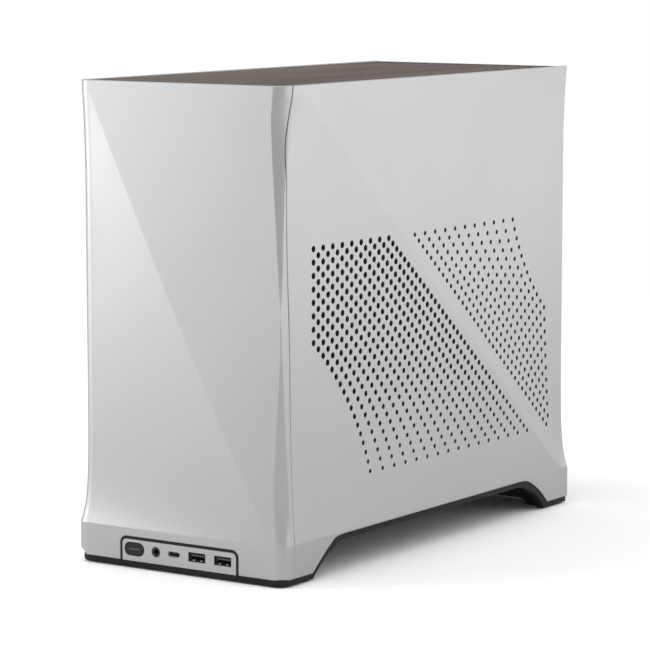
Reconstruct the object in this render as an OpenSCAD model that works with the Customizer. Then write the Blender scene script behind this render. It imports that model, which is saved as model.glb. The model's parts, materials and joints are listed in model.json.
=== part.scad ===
// Small-form-factor desktop computer: aluminium skins and a wood top over a steel chassis,
// with the board and power supply in the left chamber and the graphics card in the right one.
// Millimetres. Origin at the middle of the footprint, on the floor. Front faces -Y, up is +Z.

/* [Case] */
// Width across the bottom skirt
case_w = 164.4; // [164:0.1:166]
// Length of the bottom skirt, front to rear
case_l = 359; // [359:0.5:362]
// Height of the top edge
case_h = 314; // [314:0.5:318]
// Thickness of the aluminium skins
skin_t = 2; // [1.5:0.1:2]

/* [Skin shape] */
// How far the walls draw in above the skirt
pinch = 3.9; // [3:0.1:4.2]
// Height of the top of the straight skirt
skirt_top = 26.5; // [26:0.1:28]
// Height over which the walls draw in above the skirt
flare_len = 15; // [10:1:20]
// How far the top edge leans out again
top_flare = 1.6; // [1:0.1:2]
// Radius of the two front corners
corner_r = 8; // [7:0.5:9]
// Height of the arch under each side panel
arch_top = 25; // [24:0.1:25.5]

/* [Perforation] */
// Radius of the widest holes
hole_r_max = 2.1; // [1.8:0.05:2.4]
// Radius of the narrowest holes
hole_r_min = 1.45; // [1.2:0.05:1.8]
// Usual pitch of the holes along a row
hole_pitch = 6.9; // [6.6:0.1:8]

/* [Openings and play] */
// Gap between neighbouring skins
skin_gap = 0.8; // [0.5:0.1:1]
// Radial clearance of each fan bore on its pin
bearing_play = 0.05; // [0.02:0.01:0.09]
// Travel of the power button
button_travel = 0.8; // [0.5:0.1:1]

/* [Hidden] */
$fn = 48;

hw = case_w / 2;
hl = case_l / 2;
skin_z0 = 5.1;                       // lower edge of the skins
seam_y = -168;                       // middle of the seam between front shell and side panels
top_flare_z = 235;                   // height where the top flare begins
inset_top = pinch - top_flare;       // inset of the top edge from the skirt
floor_z = 28;                        // underside of the steel floor
steel_t = 1.2;
board_x = -2;                        // face of the motherboard that carries its parts
board_y0 = 1.5;                      // front edge of the motherboard
board_z0 = 105;                      // lower edge of the motherboard
board_size = 170;                    // mini-ITX
cpu_y = 92;
cpu_z = 212;
spine_x = 6;
rear_y = 172;                        // inner face of the rear panel
rear_t = 1.5;
gpu_x = 14;                          // back face of the graphics card's board
gpu_y0 = -118;
gpu_y1 = 169;
gpu_z0 = 72;
gpu_z1 = 190;
gpu_fan_y = [-58, 42];               // centres of the card's two fans
gpu_fan_r = 44;
psu_lo = [-72.5, -152, 160];         // power supply, 63.5 x 125 x 100
psu_hi = [-9, -27, 260];
psu_fan_r = 43;
fan_y = [-68, 60];                   // centres of the two bottom fans
fan_size = 120;
fan_t = 25;
fan_z = floor_z + steel_t;
port_z = 12.9;                       // height of the front sockets
io_x = [-46.8, 47.1];                // sides of the front connector bay
io_z = [5.1, 21];
io_face_y = -hl + 0.2;               // outer face of the connector plate
button_x = -35.3;
jack_x = -17.9;
usb_c_x = -3.5;
usb_a_x = [14.6, 34.9];
inlet_x = -48;
inlet_z = 64;
pin_r = 1.5;                         // fan pins

// ---------- skin shape ----------

// Inset of the walls from the skirt at height z: a quick draw-in above the skirt, then the top flare.
function wall_inset(z) =
    z <= skirt_top ? 0
    : pinch * (1 - exp(-(z - skirt_top) / flare_len))
      - top_flare * pow(max(0, (z - top_flare_z) / (case_h - top_flare_z)), 3);

// Inset of a wall's diagonal ridge at height z: a straight line from the skirt to the top edge.
function ridge_inset(z) =
    z <= skirt_top ? 0 : inset_top * (z - skirt_top) / (case_h - skirt_top);

// Share of the way from skirt top (0) to top edge (1).
function rise(z) = max(0, min(1, (z - skirt_top) / (case_h - skirt_top)));

// Inset of a wall with a ridge at place c: walls at a and b keep the edge inset.
function ridged(v, a, c, b, z) =
    let (tri = v < c ? (v - a) / (c - a) : (b - v) / (b - c))
    wall_inset(z) + (ridge_inset(z) - wall_inset(z)) * tri;

// Heights of the rows of points on a skin: skirt, draw-in, straight part, top flare.
skin_rows = concat(
    [skin_z0],
    [for (i = [0:6]) skirt_top + 62 * pow(i / 6, 1.8)],
    [for (i = [1:3]) 88.5 + (top_flare_z - 88.5) * i / 3],
    [for (i = [1:5]) top_flare_z + (case_h - top_flare_z) * i / 5]
);

// A thin closed solid between two grids of points with the same rows and columns.
module skin_solid(outer, inner) {
    rows = len(outer);
    cols = len(outer[0]);
    flat = concat([for (r = outer) each r], [for (r = inner) each r]);
    function o(r, c) = r * cols + c;
    function i(r, c) = rows * cols + r * cols + c;
    quads = concat(
        [for (r = [0:rows - 2], c = [0:cols - 2]) [o(r, c), o(r, c + 1), o(r + 1, c + 1), o(r + 1, c)]],
        [for (r = [0:rows - 2], c = [0:cols - 2]) [i(r, c), i(r + 1, c), i(r + 1, c + 1), i(r, c + 1)]],
        [for (c = [0:cols - 2]) [o(0, c + 1), o(0, c), i(0, c), i(0, c + 1)]],
        [for (c = [0:cols - 2], t = rows - 1) [o(t, c), o(t, c + 1), i(t, c + 1), i(t, c)]],
        [for (r = [0:rows - 2]) [o(r, 0), o(r + 1, 0), i(r + 1, 0), i(r, 0)]],
        [for (r = [0:rows - 2], e = cols - 1) [o(r + 1, e), o(r, e), i(r, e), i(r + 1, e)]]
    );
    triangles = [for (q = quads) each [[q[0], q[1], q[2]], [q[0], q[2], q[3]]]];
    polyhedron(points = flat, faces = triangles);
}

// Place of the front ridge at height z, from the top left corner to the lower right one.
function front_ridge(z) = 66 - 132 * rise(z);

// One row of the front shell, t inside the outer face: right wall, corner, front, corner, left wall.
function shell_row(z, t) =
    let (x = hw - wall_inset(z) - t, y = hl - wall_inset(z) - t, r = corner_r - t, e = x - r,
         c = front_ridge(z))
    concat(
        [[x, seam_y - skin_gap / 2, z]],
        [for (a = [0:15:90]) [x - r + r * cos(a), -(y - r + r * sin(a)), z]],
        [for (v = [c + (e - c) / 2, c, c - (c + e) / 2])
            [v, -(hl - t - ridged(v, -e, c, e, z)), z]],
        [for (a = [90:15:180]) [-(x - r) + r * cos(a), -(y - r + r * sin(a)), z]],
        [[-x, seam_y - skin_gap / 2, z]]
    );

// Place of a side panel's ridge at height z, from the top front corner to the lower rear one.
function side_ridge(z) = 168 - 326 * rise(z);

// One row of the right side panel, t inside the outer face, rear to front.
function panel_row(z, t) =
    let (a = seam_y + skin_gap / 2, b = hl - wall_inset(z), c = side_ridge(z))
    [for (y = [b, c, a]) [hw - t - ridged(y, a, c, b, z), y, z]];

// ---------- perforation ----------

function lerp(a, b, t) = a + (b - a) * t;
function bezier(p, t) =
    pow(1 - t, 3) * p[0] + 3 * pow(1 - t, 2) * t * p[1] + 3 * (1 - t) * t * t * p[2] + pow(t, 3) * p[3];

// Rows of holes are smooth curves from a regular side to a straight limit line. Each goes from
// p to q, leaving p at a degrees below level and reaching q at b degrees below level.
function row_curve(p, q, a, b) =
    let (h = norm(q - p) / 3) [p, p + h * [cos(a), -sin(a)], q - h * [cos(b), -sin(b)], q];

function front_curve(j) =
    let (t = j / 15,
         p = j < 7 ? [-141.6, 151.3 + 8.49 * j] : [-141.6 + 10.62 * (j - 7), 210.7],
         q = [-78.7 + 13.35 * j + 2.5 * sin(180 * pow(t, 0.6)), 60.6])
    row_curve(p, q, 39.2, 40.4 + 32.3 * pow(1 - t, 1.5));

function rear_curve(m) =
    let (t = m / 10,
         p = [-25.2 + 12.92 * m, 210.4],
         q = m == 0 ? [151.3, 60.9] : [154.6 - 0.55 * m, 57.9 + 8.67 * m])
    row_curve(p, q, 40.2 + 30 * pow(t, 1.3), 40.4 + 1.5 * t);

// Length of a curve, and the parameter that lies a share s along it.
function curve_points(c) = [for (k = [0:24]) bezier(c, k / 24)];
function steps(pts) = [for (k = [1:len(pts) - 1]) norm(pts[k] - pts[k - 1])];
function sum(v, k = 0) = k >= len(v) ? 0 : v[k] + sum(v, k + 1);
function along(pts, s, k = 1) =
    let (d = norm(pts[k] - pts[k - 1]))
    s <= d || k == len(pts) - 1 ? lerp(pts[k - 1], pts[k], s / d) : along(pts, s - d, k + 1);

// Evenly spaced holes on a curve, as [y, z, radius]: they narrow from r0 to r1.
function curve_holes(c, pitch, r0, r1) =
    let (pts = curve_points(c), length = sum(steps(pts)), n = round(length / pitch))
    [for (k = [0:n]) let (p = along(pts, length * k / n)) [p[0], p[1], lerp(r0, r1, pow(k / n, 2))]];

perforation = concat(
    [for (j = [0:15]) each curve_holes(front_curve(j), hole_pitch - 0.7 * pow(j / 15, 3),
        hole_r_max, hole_r_min)],
    [for (m = [0:10]) each curve_holes(rear_curve(m), 6.6 + 1.3 * sin(130 * m / 10),
        hole_r_min + 0.15, hole_r_min + 0.2)]
);

// ---------- small helpers ----------

module box(a, b) { translate(a) cube(b - a); }

module rounded_rect(size, r) {
    for (x = [-1, 1]) square([size[0] - (x > 0 ? 2 * r : 0), size[1] - (x < 0 ? 2 * r : 0)], center = true);
    for (x = [-1, 1], y = [-1, 1]) translate([x * (size[0] / 2 - r), y * (size[1] / 2 - r)]) circle(r);
}

// An outline drawn in X and Z, made solid from y0 to y1.
module along_y(y0, y1) { translate([0, y1, 0]) rotate([90, 0, 0]) linear_extrude(y1 - y0) children(); }

// An outline drawn in Y and Z, made solid from x0 to x1.
module along_x(x0, x1) {
    translate([x0, 0, 0]) rotate([90, 0, 90]) linear_extrude(x1 - x0) children();
}

// A rod from point a along an axis direction ("x", "y" or "z") for length h.
module rod(a, r, h, dir) {
    turn = dir == "x" ? [0, 90, 0] : dir == "y" ? [-90, 0, 0] : [0, 0, 0];
    translate(a) rotate(turn) cylinder(r = r, h = h);
}

// A row of air slots across the circle of a fan at height y of the outline.
module fan_slots(y, r) {
    for (k = [-5:5]) translate([k * r / 5.5, y])
        square([6, 2 * sqrt(r * r - pow(k * r / 5.5, 2))], center = true);
}

// Arch outline in Y and Z, dropped by d all round.
module arch_outline(d) {
    low = -5;
    polygon([[-147 + d, low], [-147 + d, 5.3 - d / 2], [-135.6 + d, 14.4 - d / 2], [-124 + d, 22.6 - d],
        [-118 + d, arch_top - d], [119 - d, arch_top - d], [127 - d, 22.6 - d], [140.2 - d, 15 - d / 2],
        [151 - d, 5.3 - d / 2], [151 - d, low]]);
}

// The footprint of the skirt, moved in by d, with round front corners.
module footprint(d) {
    r = corner_r + 1 - d;
    translate([-hw + d, -hl + d + r]) square([case_w - 2 * d, case_l - 2 * d - r]);
    translate([-hw + d + r, -hl + d]) square([case_w - 2 * d - 2 * r, r + 1]);
    for (s = [-1, 1]) translate([s * (hw - d - r), -hl + d + r]) circle(r);
}

// ---------- outer skins ----------

module front_shell() {
    color("silver") difference() {
        skin_solid([for (z = skin_rows) shell_row(z, 0)], [for (z = skin_rows) shell_row(z, skin_t)]);
        along_y(-hl - 5, -hl + 8) io_outline(0);
    }
}

// Outline of the front connector bay in X and Z, moved in by d: round at the top, open below.
module io_outline(d) {
    r = 5 - d;
    x0 = io_x[0] + d;
    x1 = io_x[1] - d;
    z1 = io_z[1] - d;
    translate([x0, 0]) square([x1 - x0, z1 - r]);
    translate([x0 + r, z1 - r - 1]) square([x1 - x0 - 2 * r, r + 1]);
    for (x = [x0 + r, x1 - r]) translate([x, z1 - r]) circle(r);
}

module perforated_panel() {
    difference() {
        skin_solid([for (z = skin_rows) panel_row(z, 0)], [for (z = skin_rows) panel_row(z, skin_t)]);
        along_x(hw - 12, hw + 5) arch_outline(0);
        for (h = perforation) translate([hw - 12, h[0], h[1]]) rotate([0, 90, 0]) cylinder(r = h[2], h = 20);
    }
}

module right_side_panel() { color("silver") perforated_panel(); }
module left_side_panel() { color("silver") mirror([1, 0, 0]) perforated_panel(); }

// Ball studs on the inner face of a side panel, at the four corners.
stud_places = [[-150, 52], [-150, 288], [150, 52], [150, 288]];
stud_ball_x = 68;
module panel_studs() {
    for (p = stud_places) {
        x = hw - skin_t - ridged(p[0], seam_y, side_ridge(p[1]), hl - wall_inset(p[1]), p[1]);
        stem = x - 2.6 - stud_ball_x;
        translate([stud_ball_x, p[0], p[1]]) rotate([0, 90, 0]) rotate_extrude()
            polygon([[0, -3], [1.5, -3], [3, -1], [3, 1], [1.8, 2.6], [1.8, stem], [5, stem],
                [5, stem + 2], [0, stem + 2]]);
    }
}
module right_panel_studs() { color("gainsboro") panel_studs(); }
module left_panel_studs() { color("gainsboro") mirror([1, 0, 0]) panel_studs(); }

// ---------- top panel ----------

top_y = [-hl + inset_top + skin_t + 0.5, hl - inset_top - 0.4];
top_x = hw - inset_top - skin_t - 0.5;
vent_pitch = 9.8;

module top_outline(d) {
    r = corner_r - skin_t - 0.5 - d;
    translate([-top_x + d, top_y[0] + d + r]) square([2 * (top_x - d), top_y[1] - top_y[0] - 2 * d - r]);
    translate([-top_x + d + r, top_y[0] + d]) square([2 * (top_x - d - r), r + 1]);
    for (s = [-1, 1]) translate([s * (top_x - d - r), top_y[0] + d + r]) circle(r);
}

// Vent slots along the rear edge of the top.
module top_vents() {
    for (k = [-7:7]) translate([k * vent_pitch, top_y[1] - 15]) rounded_rect([5.5, 7], 1.2);
}

module top_panel_board() {
    color("#73675f") translate([0, 0, case_h - 4.5]) linear_extrude(4)
        difference() {
            top_outline(0);
            top_vents();
        }
}

// Steel tray under the board, with a perforated strip below the vents.
module top_panel_tray() {
    color("dimgray") difference() {
        translate([0, 0, case_h - 5.7]) linear_extrude(1.2) difference() {
            top_outline(1.5);
            top_vents();
        }
        for (p = top_pin_places) rod([p[0], p[1], case_h - 7], 2.5, 4, "z");
    }
}

// Pins under the tray that drop into the top rails.
top_pin_places = [for (x = [-66, 66], y = [-140, 140]) [x, y]];
module top_panel_pins() {
    color("gainsboro") for (p = top_pin_places) {
        rod([p[0], p[1], case_h - 19.5], 2, 12.5, "z");
        rod([p[0], p[1], case_h - 8], 2.5, 3.5, "z");
    }
}

// ---------- base ----------

filter_z = [21, 26];

module base_frame() {
    color("#1c1c1c") difference() {
        translate([0, 0, 0.8]) linear_extrude(floor_z - 0.8) difference() {
            footprint(skin_t + 0.6);
            footprint(skin_t + 5);
        }
        along_x(-hw - 5, hw + 5) arch_outline(4.4);
        box([-66, hl - 20, filter_z[0] - 0.6], [66, hl + 5, filter_z[1] + 0.6]);
        along_y(-hl - 5, -hl + 12) intersection() {
            io_outline(-0.6);
            translate([-80, io_z[0] - 0.2]) square([160, 40]);
        }
    }
    // Black strip below the skins, following the skirt and the arches.
    color("#1c1c1c") difference() {
        translate([0, 0, 0.8]) linear_extrude(skin_z0 - 1.1) difference() {
            footprint(1.1);
            footprint(skin_t + 0.6);
        }
        along_x(-hw - 5, hw + 5) arch_outline(4.4);
    }
    color("#1c1c1c") for (x = [-1, 1], y = [-160, 164])
        translate([x * 67, y, 6]) box([-9, -7, -3], [9, 7, 3]);
}

module rubber_feet() {
    color("#101010") for (x = [-67, 67], y = [-160, 164])
        translate([x, y, 0]) linear_extrude(3) rounded_rect([16, 12], 3);
}

// ---------- chassis ----------

rail_z = [296, 304];
module chassis_frame() {
    color("#2a2a2a") difference() {
        union() {
            box([-78.5, -174, floor_z], [78.5, hl - 3.5, fan_z]);
            box([-74, -166, fan_z], [74, -164.8, rail_z[1]]);
            for (s = [-1, 1]) {
                box([min(s * 72.8, s * 74), -164.8, fan_z], [max(s * 72.8, s * 74), rear_y, 40]);
                box([min(s * 60, s * 74), -164.8, rail_z[0]], [max(s * 60, s * 74), rear_y, rail_z[0] + 1.2]);
                box([min(s * 72.8, s * 74), -164.8, rail_z[0] + 1.2],
                    [max(s * 72.8, s * 74), rear_y, rail_z[1]]);
                // Tabs that carry the panel clips, from the floor and from the top rails.
                for (y = [-157, 143]) {
                    box([min(s * 60.8, s * 62), y, fan_z - 0.2], [max(s * 60.8, s * 62), y + 10, 58]);
                    box([min(s * 60.8, s * 62), y, 282], [max(s * 60.8, s * 62), y + 10, rail_z[0] + 0.2]);
                }
            }
        }
        for (y = fan_y) {
            translate([0, 0, floor_z - 1]) linear_extrude(4) fan_slots(y, 55);
            for (a = [-52.5, 52.5], b = [-52.5, 52.5]) rod([a, y + b, floor_z - 1], 2.2, 4, "z");
        }
        along_y(-170, -160) for (x = [-36, 36], z = [90:14:244])
            translate([x, z]) square([56, 8], center = true);
        box([-50, -170, 30], [50, -160, 70]);
        for (p = top_pin_places) rod([p[0], p[1], rail_z[0] - 1], 2.3, 4, "z");
    }
}

// Posts that hold the front shell off the front wall.
module front_shell_posts() {
    color("#2a2a2a") for (x = [-62, 62], z = [52, 284]) {
        rod([x, -172.6, z], 3, 6.6, "y");
        rod([x, -173.2, z], 6, 1.4, "y");
    }
}

// Sockets that the ball studs of the side panels push into.
module panel_clips() {
    color("#161616") for (s = [-1, 1], p = stud_places) difference() {
        box([min(s * 62, s * 72), p[0] - 7, p[1] - 6], [max(s * 62, s * 72), p[0] + 7, p[1] + 6]);
        rod([-80, p[0], p[1]], 3.3, 160, "x");
    }
}

module spine_plate() {
    color("#2a2a2a") difference() {
        union() {
            box([spine_x, -160, fan_z + fan_t + 1], [spine_x + steel_t, rear_y, 290]);
            box([spine_x - 10, -160, fan_z + fan_t + 1], [spine_x, -150, fan_z + fan_t + 2.2]);
            box([spine_x - 10, rear_y - 12, fan_z + fan_t + 1], [spine_x, rear_y, fan_z + fan_t + 2.2]);
            // Plate under the power supply, open round its inlet, switch and vents.
            difference() {
                box([psu_lo[0] + 0.5, psu_lo[1] + 1, psu_lo[2] - 1.3],
                    [spine_x + 0.5, psu_hi[1] - 1, psu_lo[2] - 0.1]);
                box([-64, -142, psu_lo[2] - 3], [-18, -30, psu_lo[2] + 3]);
            }
        }
        along_x(spine_x - 1, spine_x + 3) {
            translate([81, 114]) rounded_rect([112, 28], 4);
            translate([cpu_y, cpu_z]) rounded_rect([34, 70], 6);
            translate([-90, 110]) rounded_rect([90, 34], 8);
            translate([-14, 275]) rounded_rect([40, 16], 5);
            translate([-14, 135]) rounded_rect([18, 70], 5);
        }
    }
}

slot_pitch = 20.32;
slot_x = [for (k = [0:2]) gpu_x + 5 + k * slot_pitch];
slot_z = [76, 182];
module rear_panel() {
    color("#2a2a2a") difference() {
        box([-75, rear_y, fan_z], [75, rear_y + rear_t, rail_z[1]]);
        box([board_x - 39.5, rear_y - 1, board_z0 + 4], [board_x + 4, rear_y + 3, board_z0 + 160]);
        for (x = slot_x) along_y(rear_y - 1, rear_y + 3)
            translate([x, (slot_z[0] + slot_z[1]) / 2]) rounded_rect([13.5, slot_z[1] - slot_z[0]], 1);
        along_y(rear_y - 1, rear_y + 3) translate([inlet_x, inlet_z]) rounded_rect([28, 20.6], 3);
        for (s = [-20, 20]) rod([inlet_x + s, rear_y - 1, inlet_z], 1.7, 4, "y");
        along_y(rear_y - 1, rear_y + 3) {
            for (x = [-54:18:54], z = [275, 284]) translate([x, z]) square([14, 5], center = true);
            for (z = [36:8:60]) translate([40, z]) square([48, 4], center = true);
        }
    }
}

bracket_z = 290;
top_fan_y = [-70, 55];
module top_fan_bracket() {
    color("#2a2a2a") difference() {
        union() {
            box([-58.5, -163, bracket_z], [58.5, rear_y, bracket_z + 1.2]);
            for (s = [-1, 1]) {
                box([min(s * 57.3, s * 58.5), -163, bracket_z + 1.2],
                    [max(s * 57.3, s * 58.5), rear_y, rail_z[0] + 2.5]);
                box([min(s * 57.3, s * 72), -163, rail_z[0] + 1.3],
                    [max(s * 57.3, s * 72), rear_y, rail_z[0] + 2.5]);
            }
        }
        for (y = top_fan_y) {
            translate([0, 0, bracket_z - 1]) linear_extrude(4) fan_slots(y, 52);
            for (a = [-52.5, 52.5], b = [-52.5, 52.5]) rod([a, y + b, bracket_z - 1], 2.15, 4, "z");
        }
        for (p = top_pin_places) rod([p[0], p[1], rail_z[0]], 2.3, 5, "z");
    }
}

// Pan-head screws on the rear face: slot screws, inlet screws, bracket screws.
module case_screws() {
    color("#3a3a3a") {
        for (x = slot_x) screw([x, rear_y + rear_t + 1.2, slot_z[0] - 6]);
        for (s = [-20, 20]) screw([inlet_x + s, rear_y + rear_t + 2, inlet_z]);
        for (x = [-70, 70], z = [44, 290]) screw([x, rear_y + rear_t, z]);
    }
}

module screw(p) {
    translate(p) rotate([-90, 0, 0]) difference() {
        cylinder(r = 2.9, h = 2);
        translate([0, 0, 1]) cylinder(r = 1.5, h = 2, $fn = 6);
    }
}

module slot_cover() {
    color("#2a2a2a") difference() {
        union() {
            box([slot_x[2] - 9, rear_y + rear_t, slot_z[0] - 11],
                [slot_x[2] + 9, rear_y + rear_t + 1.1, slot_z[1] + 4]);
        }
        for (z = [86:9:176]) along_y(rear_y, rear_y + 4)
            translate([slot_x[2], z]) rounded_rect([10, 4], 1.9);
    }
}

// ---------- front connector bay ----------

module io_trim() {
    color("#161616") along_y(io_face_y + 0.2, io_face_y + 4) difference() {
        intersection() {
            io_outline(0.25);
            translate([-80, io_z[0]]) square([160, 40]);
        }
        io_outline(1.7);
    }
}

module io_plate() {
    color("silver") difference() {
        along_y(io_face_y, io_face_y + 2) intersection() {
            io_outline(1.9);
            translate([-80, io_z[0]]) square([160, 40]);
        }
        along_y(io_face_y - 1, io_face_y + 4) {
            translate([button_x, port_z]) rounded_rect([15.9, 9], 4.4);
            translate([usb_c_x, port_z]) rounded_rect([9.4, 3.7], 1.8);
            for (x = usb_a_x) translate([x, port_z]) square([13.3, 6.1], center = true);
        }
        rod([jack_x, io_face_y - 1, port_z], 3.4, 5, "y");
    }
}

module power_button() {
    color("#262628") difference() {
        union() {
            along_y(io_face_y - 0.15, io_face_y + 2.2)
                translate([button_x, port_z]) rounded_rect([15.2, 8.3], 4.1);
            along_y(io_face_y + 2.1, io_face_y + 3.4)
                translate([button_x, port_z]) rounded_rect([17.6, 10.6], 4.5);
        }
        along_y(io_face_y - 1, io_face_y + 2)
            translate([button_x, port_z]) rounded_rect([8.8, 1.2], 0.55);
    }
}

module power_light() {
    color("white") along_y(io_face_y - 0.1, io_face_y + 2) translate([button_x, port_z])
        rounded_rect([8.6, 1], 0.45);
}

module audio_jack() {
    color("#141414") difference() {
        union() {
            rod([jack_x, io_face_y + 0.3, port_z], 3.2, 4.7, "y");
            box([jack_x - 3.5, io_face_y + 4.2, port_z - 4], [jack_x + 3.5, io_face_y + 16.4, port_z + 4]);
        }
        rod([jack_x, io_face_y - 1, port_z], 1.8, 15.3, "y");
    }
}

module usb_c_port() {
    color("silver") {
        difference() {
            along_y(io_face_y + 0.3, io_face_y + 9)
                translate([usb_c_x, port_z]) rounded_rect([8.9, 3.2], 1.55);
            along_y(io_face_y - 1, io_face_y + 8)
                translate([usb_c_x, port_z]) rounded_rect([8.3, 2.6], 1.25);
        }
    }
    color("#141414")
        box([usb_c_x - 3.3, io_face_y + 1.5, port_z - 0.35], [usb_c_x + 3.3, io_face_y + 8, port_z + 0.35]);
}

// USB-A sockets: a steel shell, a contact tongue near the top, and two spring tabs below.
module usb_a_ports() {
    for (x = usb_a_x) {
        color("gray") difference() {
            box([x - 6.5, io_face_y + 0.3, port_z - 2.9], [x + 6.5, io_face_y + 14, port_z + 2.9]);
            box([x - 6.2, io_face_y - 1, port_z - 2.6], [x + 6.2, io_face_y + 13, port_z + 2.6]);
        }
        color("#141414") box([x - 5.4, io_face_y + 1.2, port_z + 0.3], [x + 5.4, io_face_y + 13, port_z + 2]);
    }
}

module front_io_board() {
    color("darkgreen") box([-44, io_face_y + 4.8, port_z - 6.2], [44, io_face_y + 18, port_z - 4.6]);
    // Push switch behind the power button.
    color("#141414")
        box([button_x - 4, io_face_y + 4.9, port_z - 4.6], [button_x + 4, io_face_y + 10, port_z + 2]);
    color("#e0e0e0") rod([button_x, io_face_y + 3.6 + button_travel - 0.2, port_z - 1], 1.2, 1.5, "y");
}

// ---------- motherboard ----------

board_holes = [for (y = [6.35, 163.83], z = [5.08, 160.02]) [board_y0 + y, board_z0 + z]];

module motherboard() {
    color("#15181a") difference() {
        box([board_x, board_y0, board_z0], [board_x + 1.6, board_y0 + board_size, board_z0 + board_size - 4]);
        for (p = board_holes) rod([board_x - 1, p[0], p[1]], 1.95, 4, "x");
    }
}

module board_standoffs() {
    color("goldenrod") for (p = board_holes) {
        rod([board_x + 1.6, p[0], p[1]], 3, spine_x - board_x - 1.6, "x");
        rod([board_x - 1.8, p[0], p[1]], 2.9, 1.8, "x");
    }
}

ram_y = [20, 30];
module board_connectors() {
    color("#0d0d0d") {
        box([board_x - 11, 38, board_z0 + 6], [board_x, 127, board_z0 + 13.5]);
        for (y = ram_y) difference() {
            box([board_x - 8, y - 3.2, board_z0 + 18], [board_x, y + 3.2, board_z0 + 160]);
            box([board_x - 9, y - 0.9, board_z0 + 21], [board_x - 3, y + 0.9, board_z0 + 157]);
        }
        difference() {
            box([board_x - 12, 5, board_z0 + 90], [board_x, 15, board_z0 + 142]);
            for (k = [0:11], y = [6, 10.4]) box([board_x - 13, y, board_z0 + 91.2 + k * 4.2],
                [board_x - 4, y + 3.6, board_z0 + 94.6 + k * 4.2]);
        }
    }
}

module board_heatsinks() {
    color("#33363a") {
        for (k = [0:3]) box([board_x - 30, 142 + k * 3.4, board_z0 + 70],
            [board_x - 6, 143.6 + k * 3.4, board_z0 + 150]);
        box([board_x - 6, 142, board_z0 + 70], [board_x, 153.8, board_z0 + 150]);
        difference() {
            box([board_x - 12, 44, board_z0 + 20], [board_x - 5.2, 128, board_z0 + 46]);
            for (y = [50:8:122]) box([board_x - 13, y, board_z0 + 23], [board_x - 9, y + 2.5, board_z0 + 43]);
        }
    }
}

module m2_drive() {
    color("#101a14") {
        box([board_x - 2.6, 46, board_z0 + 22], [board_x - 1.6, 126, board_z0 + 44]);
        for (y = [52, 74, 98]) box([board_x - 4.6, y, board_z0 + 25], [board_x - 2.6, y + 16, board_z0 + 41]);
    }
}

module cpu_socket() {
    color("darkgray") difference() {
        box([board_x - 5, cpu_y - 27, cpu_z - 32], [board_x, cpu_y + 27, cpu_z + 32]);
        box([board_x - 6, cpu_y - 18, cpu_z - 18], [board_x - 1, cpu_y + 18, cpu_z + 18]);
    }
    // The processor's lid, standing in the socket.
    color("silver")
        box([board_x - 6.5, cpu_y - 17.5, cpu_z - 17.5], [board_x - 1, cpu_y + 17.5, cpu_z + 17.5]);
    // Load lever.
    color("gainsboro") rod([board_x - 6.2, cpu_y - 25, cpu_z - 30], 1, 58, "z");
}

// Low-profile cooler: base, heat pipes bent round into the fins, and the stack of fins.
fin_x = [-41, -17];
fin_pitch = 4;
pipe_r = 3;
pipe_y = [for (k = [-1.5:1:1.5]) cpu_y + k * 9];
module cpu_cooler() {
    color("gainsboro") {
        box([-14, cpu_y - 20, cpu_z - 20], [board_x - 6.5, cpu_y + 20, cpu_z + 20]);
        for (z = [cpu_z - 45:fin_pitch:cpu_z + 45])
            box([fin_x[0], cpu_y - 46, z], [fin_x[1], cpu_y + 46, z + 0.8]);
    }
    color("#b87333") for (y = pipe_y) heat_pipe(y);
}

// One heat pipe: along the base, round a half turn below it and up through the fins.
module heat_pipe(y) {
    bend_z = cpu_z - 52;
    rod([-12.4, y, bend_z], pipe_r, 72, "z");
    rod([-24.4, y, bend_z], pipe_r, 98, "z");
    translate([-18.4, y, bend_z]) rotate([90, 0, 0])
        rotate_extrude(angle = -180) translate([6, 0]) circle(pipe_r);
}

module memory_modules() {
    color("#1b2a1e") for (y = ram_y) {
        box([board_x - 34, y - 0.6, board_z0 + 22.5], [board_x - 3.2, y + 0.6, board_z0 + 155.5]);
        for (k = [0:7]) translate([board_x, y, board_z0 + 26 + k * 16]) box([-30, 0.6, 0], [-18, 1.7, 12]);
    }
}

audio_z = [for (k = [0:2]) board_z0 + 131 + k * 10];
module rear_io_ports() {
    color("#8a8d90") {
        for (z = [board_z0 + 26, board_z0 + 46, board_z0 + 104]) port_stack(z);
        difference() {
            box([board_x - 27, 156, board_z0 + 64], [board_x, 175.4, board_z0 + 80]);
            box([board_x - 13, 163, board_z0 + 66], [board_x - 2, 177, board_z0 + 78]);
            for (x = [-24, -19]) translate([board_x + x, 163, board_z0 + 66]) cube([3.6, 14, 12]);
        }
        difference() {
            box([board_x - 7, 160, board_z0 + 84], [board_x, 175.4, board_z0 + 101]);
            box([board_x - 6, 165, board_z0 + 85.5], [board_x - 1.2, 177, board_z0 + 99.5]);
        }
        box([board_x - 4.4, 165, board_z0 + 87], [board_x - 2.8, 174.5, board_z0 + 98]);
    }
    color("#141414") for (z = audio_z) difference() {
        union() {
            box([board_x - 11, 162, z - 4.6], [board_x, 173, z + 4.6]);
            rod([board_x - 6, 172.5, z], 3.9, 3, "y");
        }
        rod([board_x - 6, 163, z], 1.8, 13, "y");
    }
}

// Two USB-A sockets, one above the other, on the rear edge of the board.
module port_stack(z) {
    difference() {
        box([board_x - 17, 157, z], [board_x, 175.4, z + 14.5]);
        for (x = [-15.5, -7]) translate([board_x + x, 162, z + 1]) cube([5.6, 15, 12.5]);
    }
    for (x = [-15.5, -7]) translate([board_x + x + 3, 162, z + 1.9]) cube([1.8, 12, 10.7]);
}

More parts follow.
